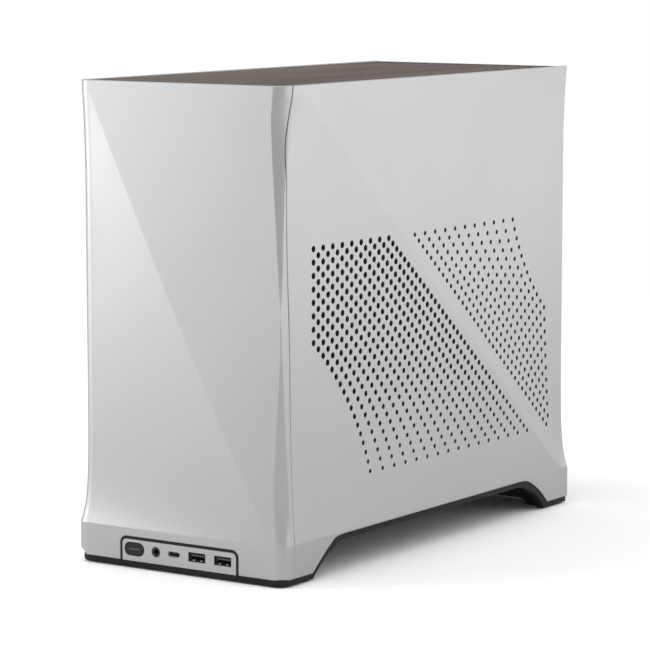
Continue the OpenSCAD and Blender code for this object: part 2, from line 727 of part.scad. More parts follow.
module io_shield() {
    color("silver") difference() {
        box([board_x - 41, rear_y + rear_t, board_z0 + 2.5],
            [board_x + 5, rear_y + rear_t + 0.6, board_z0 + 161.5]);
        box([board_x - 28, rear_y, board_z0 + 25], [board_x + 1, rear_y + 4, board_z0 + 119.5]);
        for (z = audio_z) rod([board_x - 6, rear_y, z], 4.2, 5, "y");
    }
}

// ---------- graphics card ----------

gpu_face = gpu_x + 1.6;              // face of the card's board that carries its parts
shroud_x = 61;                       // outer face of the card's shroud
module gpu_board() {
    color("#101512") {
        box([gpu_x, gpu_y0 + 8, gpu_z0 + 4], [gpu_face, gpu_y1, gpu_z1 - 4]);
        // Edge fingers, in the riser slot.
        box([gpu_x, 66, gpu_z1 - 4], [gpu_face, 150, gpu_z1 + 5]);
    }
    // Display sockets behind the bracket.
    color("#8a8d90") for (k = [0:2])
        box([gpu_face, gpu_y1 - 12, 87.5 + k * 22], [gpu_face + 6.6, rear_y + rear_t - 0.4, 104.5 + k * 22]);
}

module gpu_backplate() {
    color("#202224") difference() {
        box([gpu_x - 2.6, gpu_y0 + 4, gpu_z0 + 2], [gpu_x - 1.4, gpu_y1 - 2, gpu_z1 - 4]);
        along_x(gpu_x - 4, gpu_x + 1)
            for (k = [0:8]) translate([gpu_y0 + 20 + k * 7, 130]) rounded_rect([3, 70], 1.4);
    }
}

module gpu_heatsink() {
    color("gainsboro") {
        box([gpu_face, 0, 96], [gpu_face + 6, 84, 166]);
        for (k = [0:36]) box([gpu_face + 6, gpu_y0 + 14 + k * 7.2, gpu_z0 + 10],
            [gpu_face + 26, gpu_y0 + 14.8 + k * 7.2, gpu_z1 - 12]);
        // Spine of the fin stack, which joins the fins to the base.
        box([gpu_face + 6, gpu_y0 + 14, 126], [gpu_face + 10, gpu_y0 + 14.8 + 36 * 7.2, 136]);
    }
}

// Shroud with two round fan openings; each fan's pin stands on two struts behind it.
module gpu_shroud() {
    zc = (gpu_z0 + gpu_z1) / 2;
    color("#232527") difference() {
        box([gpu_face + 27, gpu_y0, gpu_z0], [shroud_x, gpu_y1 - 6, gpu_z1 - 8]);
        box([gpu_face + 25, gpu_y0 + 2, gpu_z0 + 2], [shroud_x - 2, gpu_y1 - 8, gpu_z1 - 10]);
        for (y = gpu_fan_y) rod([shroud_x - 5, y, zc - 4], gpu_fan_r + 1.5, 10, "x");
    }
    color("#232527") for (y = gpu_fan_y) translate([gpu_face + 27, y, zc - 4]) rotate([0, 90, 0]) {
        cylinder(r = 15, h = 2);
        cylinder(r = pin_r, h = 12);
        for (a = [0, 180]) rotate([0, 0, a]) box([14, -2.5, 0], [(gpu_z1 - gpu_z0) / 2 - 5, 2.5, 2]);
    }
}

module gpu_fan(k) {
    translate([gpu_face + 29.6, gpu_fan_y[k], (gpu_z0 + gpu_z1) / 2 - 4]) rotate([0, 90, 0])
        rotor(gpu_fan_r, 15, 13, 11, 10);
}
module gpu_fan_front() { color("#3a3d40") gpu_fan(0); }
module gpu_fan_rear() { color("#3a3d40") gpu_fan(1); }

module gpu_bracket() {
    color("silver") difference() {
        union() {
            box([slot_x[0] - 9, rear_y + rear_t, slot_z[0] - 11],
                [slot_x[1] + 9, rear_y + rear_t + 1.1, slot_z[1] + 4]);
            box([gpu_x - 1.2, gpu_y1 - 8, 84], [gpu_x - 0.1, rear_y + rear_t, 100]);
            box([gpu_x - 1.2, gpu_y1 - 8, 150], [gpu_x - 0.1, rear_y + rear_t, 166]);
        }
        along_y(rear_y, rear_y + 4) {
            for (k = [0:2]) translate([slot_x[0] + 1, 96 + k * 22]) rounded_rect([7, 18], 1);
            for (k = [0:9]) translate([slot_x[1], 88 + k * 9]) rounded_rect([9, 4], 1.9);
        }
    }
}

// ---------- riser ----------

module riser_slot() {
    color("#0d0d0d") {
        difference() {
            box([gpu_x - 4.4, 60, gpu_z1 - 3.8], [gpu_face + 3.2, 156, gpu_z1 + 8]);
            box([gpu_x - 0.2, 64, gpu_z1 - 5], [gpu_face + 0.2, 152, gpu_z1 + 5.4]);
        }
        box([gpu_x - 4.4, 60, gpu_z1 + 8], [gpu_face + 3.2, 156, gpu_z1 + 9.6]);
    }
}

// Flat ribbon from the board's slot, through the spine and up its right side to the card's slot.
module riser_cable() {
    top = gpu_z1 + 12;
    ribbon = [[-13.5, 114.6], [-17, 114.6], [-17, 103], [9.2, 103], [9.2, top], [13, top], [13, top - 2],
        [16, top - 2], [16, top + 0.9], [8.3, top + 0.9], [8.3, 103.9], [-16.1, 103.9], [-16.1, 113.7],
        [-13.5, 113.7]];
    color("#1a1a1a") along_y(66, 126) polygon(ribbon);
}

// ---------- power supply ----------

psu_mid = (psu_lo + psu_hi) / 2;
module psu_case() {
    color("#1e1f21") difference() {
        box(psu_lo, psu_hi);
        box(psu_lo + [1.2, 1.2, 1.2], psu_hi - [1.2, 1.2, 1.2]);
        rod([psu_lo[0] - 1, psu_mid[1], psu_mid[2]], psu_fan_r + 1, 4, "x");
        translate([psu_mid[0], psu_mid[1] - 34, psu_lo[2] - 1]) linear_extrude(4) rounded_rect([20.6, 28], 2);
        translate([psu_mid[0], psu_mid[1] + 4, psu_lo[2] - 1])
            linear_extrude(4) rounded_rect([13.8, 19.8], 0.2);
        for (x = [-20, 0, 20], y = [-40:20:40]) translate([psu_mid[0] + x, psu_mid[1] + y, psu_hi[2] - 3])
            box([-7, -5, 0], [7, 5, 5]);
        for (y = [22:7:57]) translate([psu_mid[0], psu_mid[1] + y, psu_lo[2]]) box([-22, -2, -1], [22, 2, 3]);
    }
    // Fan motor and its three struts, on the inner side of the fan opening.
    color("#1e1f21") translate([psu_lo[0] + 16, psu_mid[1], psu_mid[2]]) rotate([0, -90, 0]) {
        cylinder(r = 15, h = 2);
        cylinder(r = pin_r, h = 11);
        for (a = [90, 270]) rotate([0, 0, a]) box([14, -2.5, 0], [61.3, 2.5, 2]);
    }
}

module psu_fan_rotor() {
    color("#303234") translate([psu_lo[0] + 13.4, psu_mid[1], psu_mid[2]]) rotate([0, -90, 0])
        rotor(psu_fan_r, 15, 11, 9, 9);
}

// Wire guard over the power supply's fan.
module psu_fan_grille() {
    color("#4a4c4e") translate([psu_lo[0] - 1.1, psu_mid[1], psu_mid[2]]) rotate([0, -90, 0]) {
        for (r = [10:8.5:44]) rotate_extrude() translate([r, 0]) circle(0.8, $fn = 16);
        for (a = [45:90:315]) rotate([0, 0, a]) rod([9.5, 0, 1.1], 0.8, 35.5, "x");
    }
}

// Appliance inlet: flange, deep cavity and three flat pins. Local: mouth at z = 0, facing +Z.
module inlet(flange) {
    difference() {
        union() {
            translate([0, 0, -2]) linear_extrude(2) rounded_rect(flange, 3);
            translate([0, 0, -22]) linear_extrude(20) rounded_rect([27, 19.6], 2.5);
        }
        translate([0, 0, -18]) linear_extrude(20) rounded_rect([24, 16.6], 2);
        if (flange[0] > 40) for (s = [-20, 20]) translate([s, 0, -3]) cylinder(r = 1.8, h = 5);
    }
    for (p = [[-7, -2], [0, 2.4], [7, -2]]) translate([p[0] - 1, p[1] - 2, -18]) cube([2, 4, 12]);
}

module psu_inlet() {
    color("#121212") translate([psu_mid[0], psu_mid[1] - 34, psu_lo[2] - 2])
        rotate([180, 0, 90]) inlet([31, 23]);
}

module mains_inlet() {
    color("#121212") translate([inlet_x, rear_y + rear_t + 2, inlet_z]) rotate([-90, 0, 0]) inlet([50, 23]);
}

// Rocker switch of the power supply: it turns on two stub pins in its frame. At rest it is
// pressed down at one end.
rocker_at = [psu_mid[0], psu_mid[1] + 4, psu_lo[2] + 1];
rocker_tilt = 8;
module psu_switch() {
    color("#0c0c0c") translate(rocker_at) rotate([rocker_tilt, 0, 0]) rotate([0, 90, 0]) {
        translate([0, 0, -5.4]) linear_extrude(10.8)
            polygon([[4, -8], [2.4, 0], [4, 8], [1, 8], [-3, 3.5], [-3, -3.5], [1, -8]]);
        translate([0, 0, -6.4]) cylinder(r = 1, h = 12.8);
    }
}

module psu_switch_frame() {
    color("#121212") translate(rocker_at) difference() {
        union() {
            translate([0, 0, -2.2]) linear_extrude(1.2) rounded_rect([15.6, 21.6], 1);
            translate([0, 0, -2.2]) linear_extrude(10) square([13.2, 19.2], center = true);
        }
        translate([0, 0, -3]) linear_extrude(12) square([11.4, 17.6], center = true);
        rod([-6.5, 0, 0], 1.06, 13, "x");
    }
}

// Lead from the supply's inlet to the rear inlet, with the plug on its supply end.
lead_route = [[-40.8, -123.5, 148], [-40.8, -123.5, 120], [-42, -122, 100], [-52, -116, 84],
    [-62, -104, 72], [-66.5, -84, 66], [-67, -60, 63], [-67, -20, 62], [-67, 40, 62], [-67, 90, 62],
    [-66, 116, 62],
    [-61, 130, 62.6], [-52, 140, 63.6], [-48, 146, 64], [-48, 152.8, 64]];
function smooth(p, t) =
    let (n = len(p), k = min(n - 2, floor(t)), u = t - k, a = p[max(0, k - 1)], b = p[k], c = p[k + 1],
         d = p[min(n - 1, k + 2)])
    0.5 * (2 * b + (c - a) * u + (2 * a - 5 * b + 4 * c - d) * u * u + (3 * b - a - 3 * c + d) * u * u * u);

module internal_power_lead() {
    color("#141414") {
        sweep([for (k = [0:39]) smooth(lead_route, k * (len(lead_route) - 1) / 39)], 3.4, 8);
        translate([-40.8, -123.5, 134]) linear_extrude(29.5) rounded_rect([15.8, 23.2], 2);
    }
}

// A round tube along points p.
module sweep(p, r, sides) {
    n = len(p);
    function unit(v) = v / norm(v);
    function way(k) = unit(p[min(n - 1, k + 1)] - p[max(0, k - 1)]);
    function aside(k) = abs(way(k)[1]) > 0.8 ? [0.91, 0.17, 0.15] : [0.31, 1.07, -0.05];
    function side(k) = unit(cross(way(k), aside(k)));
    rings = [for (k = [0:n - 1]) let (u = side(k), v = cross(way(k), u))
        each [for (a = [0:sides - 1]) p[k] + r * (cos(a * 360 / sides) * u + sin(a * 360 / sides) * v)]];
    walls = [for (k = [0:n - 2], a = [0:sides - 1]) let (b = (a + 1) % sides)
        each [[k * sides + b, k * sides + a, (k + 1) * sides + a],
            [k * sides + b, (k + 1) * sides + a, (k + 1) * sides + b]]];
    polyhedron(points = rings, faces = concat(walls, [[for (a = [0:sides - 1]) a],
        [for (a = [sides - 1:-1:0]) (n - 1) * sides + a]]));
}

// ---------- fans ----------

// A fan's rotor: hub with a blind bore from below, and pitched blades. Its lower face is z = 0.
module rotor(tip, hub, h, blades, bore) {
    difference() {
        union() {
            cylinder(r = hub, h = h);
            intersection() {
                difference() {
                    cylinder(r = tip, h = h - 1);
                    translate([0, 0, -1]) cylinder(r = hub - 1, h = h + 2);
                }
                for (k = [0:blades - 1]) rotate([0, 0, k * 360 / blades]) translate([0, 0, h / 2])
                    rotate([32, 0, 0]) box([hub - 2, -0.9 - h / 2 - 2, -0.9], [tip + 1, h / 2 + 3, 0.9]);
            }
        }
        translate([0, 0, -1]) cylinder(r = pin_r + bearing_play, h = bore + 1);
    }
}

// A square fan frame, its motor plate on four struts at z = 0, and the pin the rotor turns on.
module fan_frame(size, t, holes) {
    difference() {
        linear_extrude(t) rounded_rect([size, size], 6);
        translate([0, 0, -1]) cylinder(r = size / 2 - 1.6, h = t + 2);
        for (x = [-holes, holes], y = [-holes, holes]) translate([x, y, -1]) cylinder(r = 2.15, h = t + 2);
    }
    cylinder(r = 20, h = 2.5);
    translate([0, 0, 1]) cylinder(r = pin_r, h = t - 9);
    for (a = [45:90:315]) rotate([0, 0, a]) box([18, -2.5, 0.3], [size / 2 + 1, 2.5, 2.2]);
}

module bottom_fan_frames() {
    color("#1a1b1c") for (y = fan_y) translate([0, y, fan_z]) fan_frame(fan_size, fan_t, 52.5);
}
module bottom_fan(k) { translate([0, fan_y[k], fan_z + 3.2]) rotor(56.5, 20, 20, 9, 15); }
module bottom_fan_front() { color("#26282a") bottom_fan(0); }
module bottom_fan_rear() { color("#26282a") bottom_fan(1); }

module cpu_fan_frame() {
    color("#1a1b1c") translate([fin_x[0], cpu_y, cpu_z]) rotate([0, -90, 0]) fan_frame(92, 15, 41.25);
}
module cpu_fan_rotor() {
    color("#26282a") translate([fin_x[0] - 3.2, cpu_y, cpu_z])
        rotate([0, -90, 0]) rotor(42.5, 20, 10.5, 7, 6);
}

// ---------- dust filter ----------

module dust_filter_frame() {
    color("#1a1a1a") difference() {
        union() {
            box([-65, -140, filter_z[0]], [65, hl - 3.2, filter_z[0] + 2.4]);
            box([-65, hl - 7, filter_z[0]], [65, hl - 3.2, filter_z[1]]);
        }
        for (y = fan_y) box([-60, y - 58, filter_z[0] - 1], [60, y + 58, filter_z[0] + 4]);
        box([-30, hl - 8, filter_z[1] - 1.5], [30, hl, filter_z[1] + 1]);
    }
}

module dust_filter_mesh() {
    color("#303030") for (y = fan_y)
        box([-59.8, y - 57.8, filter_z[0] + 0.8], [59.8, y + 57.8, filter_z[0] + 1.4]);
}

front_shell();
right_side_panel();
right_panel_studs();
left_side_panel();
left_panel_studs();
top_panel_board();
top_panel_tray();
top_panel_pins();
base_frame();
rubber_feet();
chassis_frame();
front_shell_posts();
panel_clips();
spine_plate();
rear_panel();
top_fan_bracket();
case_screws();
slot_cover();
io_trim();
io_plate();
power_button();
power_light();
audio_jack();
usb_c_port();
usb_a_ports();
front_io_board();
motherboard();
board_standoffs();
board_connectors();
board_heatsinks();
cpu_socket();
cpu_cooler();
cpu_fan_frame();
cpu_fan_rotor();
memory_modules();
m2_drive();
rear_io_ports();
io_shield();
riser_cable();
riser_slot();
gpu_board();
gpu_heatsink();
gpu_shroud();
gpu_fan_front();
gpu_fan_rear();
gpu_backplate();
gpu_bracket();
psu_case();
psu_fan_rotor();
psu_fan_grille();
psu_inlet();
psu_switch_frame();
psu_switch();
mains_inlet();
internal_power_lead();
bottom_fan_frames();
bottom_fan_front();
bottom_fan_rear();
dust_filter_frame();
dust_filter_mesh();
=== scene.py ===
"""Looks for a small form factor desktop computer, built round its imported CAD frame."""

import json
import math

import bmesh
import bpy
import numpy as np
from bpy.props import FloatProperty, FloatVectorProperty, IntProperty, PointerProperty
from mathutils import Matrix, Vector
from mathutils.geometry import delaunay_2d_cdt
from mathutils.kdtree import KDTree


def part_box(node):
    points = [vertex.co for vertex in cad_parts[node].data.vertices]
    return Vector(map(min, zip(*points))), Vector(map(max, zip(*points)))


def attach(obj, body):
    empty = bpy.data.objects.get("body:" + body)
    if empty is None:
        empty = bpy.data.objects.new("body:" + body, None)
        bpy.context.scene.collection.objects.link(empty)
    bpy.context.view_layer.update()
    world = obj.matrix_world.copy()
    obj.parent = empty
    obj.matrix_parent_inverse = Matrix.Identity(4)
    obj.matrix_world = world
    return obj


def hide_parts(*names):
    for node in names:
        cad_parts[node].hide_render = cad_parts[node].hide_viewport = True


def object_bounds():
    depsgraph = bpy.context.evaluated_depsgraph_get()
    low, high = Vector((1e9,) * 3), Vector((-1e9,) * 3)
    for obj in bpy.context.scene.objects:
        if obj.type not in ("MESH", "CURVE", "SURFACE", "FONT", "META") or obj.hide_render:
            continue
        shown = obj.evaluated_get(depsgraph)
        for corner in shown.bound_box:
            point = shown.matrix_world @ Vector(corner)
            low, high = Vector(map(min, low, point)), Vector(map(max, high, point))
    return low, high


bl_info = {
    "name": "Compact desktop computer",
    "version": (1, 0, 0),
    "blender": (4, 5, 0),
    "location": "3D View > Sidebar > Computer",
    "description": "Builds the looks of a compact desktop computer over its CAD frame",
    "category": "Object",
}

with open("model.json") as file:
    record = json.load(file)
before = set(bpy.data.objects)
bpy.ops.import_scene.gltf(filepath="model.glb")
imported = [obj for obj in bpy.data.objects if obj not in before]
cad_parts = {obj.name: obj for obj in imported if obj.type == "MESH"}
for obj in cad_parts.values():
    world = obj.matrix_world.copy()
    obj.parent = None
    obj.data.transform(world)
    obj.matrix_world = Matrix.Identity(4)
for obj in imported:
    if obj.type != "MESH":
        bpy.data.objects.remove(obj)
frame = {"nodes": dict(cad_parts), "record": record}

MM = 0.001

# Sizes and places in millimetres.
HALF_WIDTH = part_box("right_side_panel")[1].x / MM
HALF_LENGTH = round(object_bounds()[1][1] / MM, 3)
CASE_TOP = round(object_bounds()[1][2] / MM, 3)
SKIN_BOTTOM = 5.1
SKIRT_TOP = 26.5
SKIN = 2.0
SEAM_GAP = 0.4
PINCH = 3.9
TOP_FLARE = 1.6
FLARE_Z = 235.0
TOP_INSET = PINCH - TOP_FLARE

# Opening in the front skin for the sockets.
BAY_LEFT = -46.8
BAY_RIGHT = 47.1
BAY_TOP = 21.0
BAY_RADIUS = 5.0
BAY_FRAME = 0.6

# Arch under each side, where it meets the lower edge of the skin.
ARCH_FRONT = -147.0
ARCH_REAR = 151.0

# How much of the front shell's flat parameter each stretch of its plan takes.
FRONT_SPAN = 70.0
LEAD_SPAN = 4.0
SIDE_SPAN = 12.0

# Stage, in metres. The lens and the light powers are settings.
CAMERA_PLACE = (1.15425, -1.72999, 0.40801)
CAMERA_AIM = (-0.0052, -0.0035, 0.14215)
SENSOR_WIDTH = 36.0
LIGHT_AIM = (0.0, 0.0, 0.16)
FLOOR_RADIUS = 1.5

# Materials by slot, filled by the finishes operator.
MATERIALS = {}


# ---------- shape of the skins, in millimetres ----------


def smooth(t):
    """Smooth step from 0 to 1."""
    t = min(1.0, max(0.0, t))
    return t * t * (3.0 - 2.0 * t)


def lerp(a, b, t):
    """Straight blend from a to b."""
    return a + (b - a) * t


def top_flare(z):
    """How far the walls come out again towards the top edge."""
    return TOP_FLARE * max(0.0, (z - FLARE_Z) / (CASE_TOP - FLARE_Z)) ** 3


def draw_in(z, depth, length):
    """Inset that grows quickly above the skirt and then levels off."""
    if z <= SKIRT_TOP:
        return 0.0
    return depth * (1.0 - math.exp(-(z - SKIRT_TOP) / length))


def wall_inset(z):
    """Inset of a plain wall at height z."""
    return draw_in(z, PINCH, 15.0) - top_flare(z)


def slow_inset(z):
    """Inset of the right wall beside the front corner."""
    return draw_in(z, PINCH, 45.0) - top_flare(z)


def rise(z):
    """Share of the way from skirt top to top edge."""
    return min(1.0, max(0.0, (z - SKIRT_TOP) / (CASE_TOP - SKIRT_TOP)))


def ridge_inset(z):
    """Inset along a diagonal ridge."""
    return TOP_INSET * rise(z)


def front_ridge(z):
    """Place of the ridge on the front face."""
    t = max(0.0, z - SKIRT_TOP)
    return 72.0 - 0.545 * t + 1.27e-4 * t * t


def side_ridge(z):
    """Place of the ridge on a side panel."""
    return 168.0 - 326.0 * rise(z)


def front_inset(x, z):
    """Inset of the front face at x and z."""
    ridge = front_ridge(z)
    if x > ridge:
        t = min(1.0, (x - ridge) / (HALF_WIDTH - 2.0 - ridge))
        return lerp(ridge_inset(z), draw_in(z, TOP_INSET, 25.0), t)
    t = min(1.0, (ridge - x) / (ridge + HALF_WIDTH))
    return lerp(ridge_inset(z), wall_inset(z), t)


def seam(z):
    """Middle of the seam beside the right front corner."""
    return -167.4 - 3.0 * smooth((z - 140.0) / 90.0) + 5.4 * smooth((z - 268.0) / 46.0)


class Corner:
    """Section of one vertical front corner at height z; side is 1 on the right and -1 on the left."""

    def __init__(self, side, z):
        self.side = side
        if side > 0:
            self.crease = min(7.5, max(-7.0, 0.062 * (z - 170.0)))
            self.reach = 1.5 + 0.055 * (z - 170.0) + 16.0 * smooth((z - 250.0) / 52.0)
            self.reach -= 8.0 * smooth((z - 296.0) / 14.0)
            self.lead = 0.5 + 7.5 * smooth((157.0 - z) / 115.0)
            angle = 68.0 - 30.0 * smooth((z - 170.0) / 60.0) - 38.0 * smooth((z - 280.0) / 28.0)
            self.handle = max(0.0, self.crease) * math.tan(math.radians(angle))
            turn = 60.0 + 30.0 * smooth((50.0 - z) / 23.5)
            self.cut = max(0.0, -self.crease) / math.tan(math.radians(turn))
            self.wall = HALF_WIDTH - slow_inset(z)
            self.seam = seam(z)
        else:
            self.crease = 8.0
            self.reach = 8.0
            self.lead = 0.5
            self.handle = 0.0
            self.cut = 0.0
            self.wall = HALF_WIDTH - wall_inset(z)
            self.seam = -168.0
        self.start = self.wall - max(0.0, self.crease) - self.lead
        self.face = HALF_LENGTH - front_inset(side * self.start, z)

    def drop(self, y):
        """How far the wall curves in at y, beside the crease."""
        if self.crease <= 0.0:
            return 0.0
        depth = max(0.0, y + self.face)
        if depth >= self.reach:
            return 0.0
        bend = self.reach - 2.0 * self.handle
        if abs(bend) < 1e-6:
            u = depth / (2.0 * self.handle)
        else:
            u = (math.sqrt(max(0.0, self.handle ** 2 + bend * depth)) - self.handle) / bend
        return self.crease * (1.0 - u) ** 2

    def front_part(self, v):
        """From the front face at v = 0 to the crease at v = 1."""
        if self.crease >= 0.0:
            return self.start + self.lead * v, -self.face
        a, b, c = (1.0 - v) ** 2, 2.0 * v * (1.0 - v), v * v
        x = self.wall - a * self.lead - b * self.cut
        return x, -self.face - c * self.crease

    def side_part(self, w):
        """From the crease at w = 0 to the seam at w = 1."""
        first = max(0.0, -self.crease) - self.face
        y = lerp(first, self.seam - SEAM_GAP / 2, w * w)
        return self.wall - self.drop(y), y


def shell_point(a, z):
    """Outer face of the front shell: a runs from the left seam, round the front, to the right seam."""
    if abs(a) <= FRONT_SPAN:
        left = Corner(-1, z)
        right = Corner(1, z)
        x = lerp(-left.start, right.start, (a + FRONT_SPAN) / (2.0 * FRONT_SPAN))
        return Vector((x, front_inset(x, z) - HALF_LENGTH, z))
    corner = Corner(1 if a > 0 else -1, z)
    step = abs(a) - FRONT_SPAN
    if step <= LEAD_SPAN:
        x, y = corner.front_part(step / LEAD_SPAN)
    else:
        x, y = corner.side_part(min(1.0, (step - LEAD_SPAN) / SIDE_SPAN))
    return Vector((corner.side * x, y, z))


def shell_place(x, z):
    """The a that shell_point turns into x on the front face."""
    left = -Corner(-1, z).start
    right = Corner(1, z).start
    return -FRONT_SPAN + 2.0 * FRONT_SPAN * (x - left) / (right - left)


def side_point(y, z, side):
    """Outer face of a side panel."""
    corner = Corner(side, z)
    first = corner.seam
    last = HALF_LENGTH - wall_inset(z)
    ridge = side_ridge(z)
    near = slow_inset(z) if side > 0 else wall_inset(z)
    if y < ridge:
        t = max(0.0, (y - first) / (ridge - first))
        inset = lerp(near, ridge_inset(z), t)
    else:
        inset = lerp(ridge_inset(z), wall_inset(z), min(1.0, (y - ridge) / (last - ridge)))
    return Vector((side * (HALF_WIDTH - inset - corner.drop(y)), y, z))


def heights():
    """Heights of the rows of points on a skin, closer where the wall curves."""
    rows = [SKIN_BOTTOM, 9.0, 13.0, 17.0, 21.0, 24.0, SKIRT_TOP]
    rows += [SKIRT_TOP + 62.0 * (i / 14) ** 1.6 for i in range(1, 15)]
    rows += [88.5 + (FLARE_Z - 88.5) * i / 20 for i in range(1, 21)]
    rows += [FLARE_Z + (CASE_TOP - FLARE_Z) * i / 14 for i in range(1, 15)]
    return rows


# ---------- perforation ----------


def row_curve(p, q, a, b, pitch):
    """Even points from p to q on a curve that starts a degrees and ends b degrees below level."""
    p = np.array(p)
    q = np.array(q)
    h = np.linalg.norm(q - p) / 3
    a = math.radians(a)
    b = math.radians(b)
    p1 = p + h * np.array((math.cos(a), -math.sin(a)))
    q1 = q - h * np.array((math.cos(b), -math.sin(b)))
    t = np.linspace(0.0, 1.0, 25)[:, None]
    line = (1 - t) ** 3 * p + 3 * (1 - t) ** 2 * t * p1 + 3 * (1 - t) * t * t * q1 + t ** 3 * q
    run = np.concatenate(([0.0], np.cumsum(np.linalg.norm(np.diff(line, axis=0), axis=1))))
    steps = round(run[-1] / pitch)
    marks = np.linspace(0.0, run[-1], steps + 1)
    return np.stack((np.interp(marks, run, line[:, 0]), np.interp(marks, run, line[:, 1])), axis=1)


def perforation(sizes):
    """All the holes of a side panel as (y, z, radius)."""
    big = sizes.hole_radius_large / MM
    small = sizes.hole_radius_small / MM
    found = []

    # The front field: rows start down its front edge, then along its top, and end along its foot.
    rows = 16
    edge_rows = 7
    edge = -141.6
    for j in range(rows):
        t = j / (rows - 1)
        if j < edge_rows:
            p = (edge, 151.3 + 8.49 * j)
        else:
            p = (edge + 10.62 * (j - edge_rows), 210.7)
        q = (-78.7 + 13.35 * j + 2.5 * math.sin(math.pi * t ** 0.6), 60.6)
        row = row_curve(p, q, 39.2, 40.4 + 32.3 * (1 - t) ** 1.5, 6.9 - 0.7 * t ** 3)
        for k, (y, z) in enumerate(row):
            found.append((y, z, lerp(big, small, (k / (len(row) - 1)) ** 2)))

    # The rear field: rows start along its top and end down its rear edge.
    rows = 11
    for j in range(rows):
        t = j / (rows - 1)
        p = (-25.2 + 12.92 * j, 210.4)
        q = (151.3, 60.9) if j == 0 else (154.6 - 0.55 * j, 57.9 + 8.67 * j)
        pitch = 6.6 + 1.3 * math.sin(math.radians(130 * t))
        row = row_curve(p, q, 40.2 + 30 * t ** 1.3, 40.4 + 1.5 * t, pitch)
        for k, (y, z) in enumerate(row):
            share = (k / (len(row) - 1)) ** 2
            found.append((y, z, lerp(small + 0.15, small + 0.2, share)))
    return found


# ---------- outlines ----------


def arc(cx, cy, r, first, last, count):
    """Points on an arc, angles in degrees."""
    turn = [math.radians(lerp(first, last, i / count)) for i in range(count + 1)]
    return [(cx + r * math.cos(t), cy + r * math.sin(t)) for t in turn]


def rounded(x0, y0, x1, y1, radii, count=6):
    """Rectangle with its own radius at each corner: right top, left top, left bottom, right bottom."""
    spots = (
        (x1 - radii[0], y1 - radii[0], radii[0], 0),
        (x0 + radii[1], y1 - radii[1], radii[1], 90),
        (x0 + radii[2], y0 + radii[2], radii[2], 180),
        (x1 - radii[3], y0 + radii[3], radii[3], 270),
    )
    points = []
    for cx, cy, r, turn in spots:
        points += arc(cx, cy, r, turn, turn + 90, count) if r > 0 else [(cx, cy)]
    return points


def soften(points, rounds=3):
    """Cuts the corners of an open line again and again, with its ends kept."""
    for _ in range(rounds):
        line = [points[0]]
        for p, q in zip(points, points[1:]):
            line.append((lerp(p[0], q[0], 0.25), lerp(p[1], q[1], 0.25)))
            line.append((lerp(p[0], q[0], 0.75), lerp(p[1], q[1], 0.75)))
        line.append(points[-1])
        points = line
    return points


def arch(drop=0.0):
    """Open line of the arch under a side, dropped by an amount all round."""
    d = drop
    line = [
        (ARCH_FRONT + d, 5.3 - d / 2),
        (-135.6 + d, 14.4 - d / 2),
        (-124 + d, 22.6 - d),
        (-118 + d, 25 - d),
        (-100, 25 - d),
        (100, 25 - d),
        (119 - d, 25 - d),
        (127 - d, 22.6 - d),
        (140.2 - d, 15 - d / 2),
        (ARCH_REAR - d, 5.3 - d / 2),
    ]
    return soften(line)


def split_line(points, step):
    """The same open line with points no further apart than step."""
    line = [points[0]]
    for p, q in zip(points, points[1:]):
        count = max(1, math.ceil(math.dist(p, q) / step))
        line += [(lerp(p[0], q[0], i / count), lerp(p[1], q[1], i / count)) for i in range(1, count + 1)]
    return line


def moved_in(loop, amount):
    """Closed loop moved to its left by an amount."""
    moved = []
    for i, p in enumerate(loop):
        a = Vector(loop[i - 1])
        b = Vector(p)
        c = Vector(loop[(i + 1) % len(loop)])
        u = (b - a).normalized()
        v = (c - b).normalized()
        n = Vector((-u.y - v.y, u.x + v.x))
        if n.length < 1e-6:
            n = Vector((-u.y, u.x))
        n.normalize()
        reach = amount / max(0.35, n.dot(Vector((-u.y, u.x))))
        moved.append((p[0] + n.x * reach, p[1] + n.y * reach))
    return moved


def inside(points, loop):
    """Which points lie inside a closed loop."""
    x = points[:, 0]
    y = points[:, 1]
    odd = np.zeros(len(points), bool)
    for (x0, y0), (x1, y1) in zip(loop, loop[1:] + loop[:1]):
        if y0 == y1:
            continue
        crossing = ((y0 > y) != (y1 > y)) & (x < (x1 - x0) * (y - y0) / (y1 - y0) + x0)
        odd ^= crossing
    return odd


# ---------- sheets ----------


def hole_tree(holes):
    """Search tree over the centres of holes."""
    tree = KDTree(max(1, len(holes)))
    for i, (_, centre, _) in enumerate(holes):
        tree.insert((centre[0], centre[1], 0.0), i)
    tree.balance()
    return tree


def nearest_hole(holes, tree, p):
    """The hole whose centre is nearest to p, and how far off it is; None and no limit without holes."""
    if not holes:
        return None, math.inf
    _, i, away = tree.find((p[0], p[1], 0.0))
    return holes[i], away


def flat_faces(outline, holes, lines, fill, rim):
    """Triangles between a flat outline and its holes, as an array of points and one of corners."""
    verts = []
    edges = []

    def add(chain, closed):
        first = len(verts)
        verts.extend(Vector(p) for p in chain)
        last = len(verts) - 1
        edges.extend((i, i + 1) for i in range(first, last))
        if closed:
            edges.append((last, first))

    add(outline, True)
    for loop, _, _ in holes:
        add(loop, True)
    for line in lines:
        add(line, False)
    add(moved_in(outline, rim), True)
    verts.extend(Vector(p) for p in fill)
    points, _, faces, _, _, _ = delaunay_2d_cdt(verts, edges, [], 0, 1e-4, False)
    points = np.array([tuple(v) for v in points])
    faces = np.array(faces)
    middle = points[faces].mean(axis=1)
    keep = inside(middle, outline)
    tree = hole_tree(holes)
    for f in np.nonzero(keep)[0]:
        hole, away = nearest_hole(holes, tree, middle[f])
        if hole and away < hole[2] and inside(middle[f:f + 1], hole[0])[0]:
            keep[f] = False
    faces = faces[keep]
    used = np.unique(faces)
    number = {int(v): i for i, v in enumerate(used)}
    return points[used], [[number[int(v)] for v in f] for f in faces]


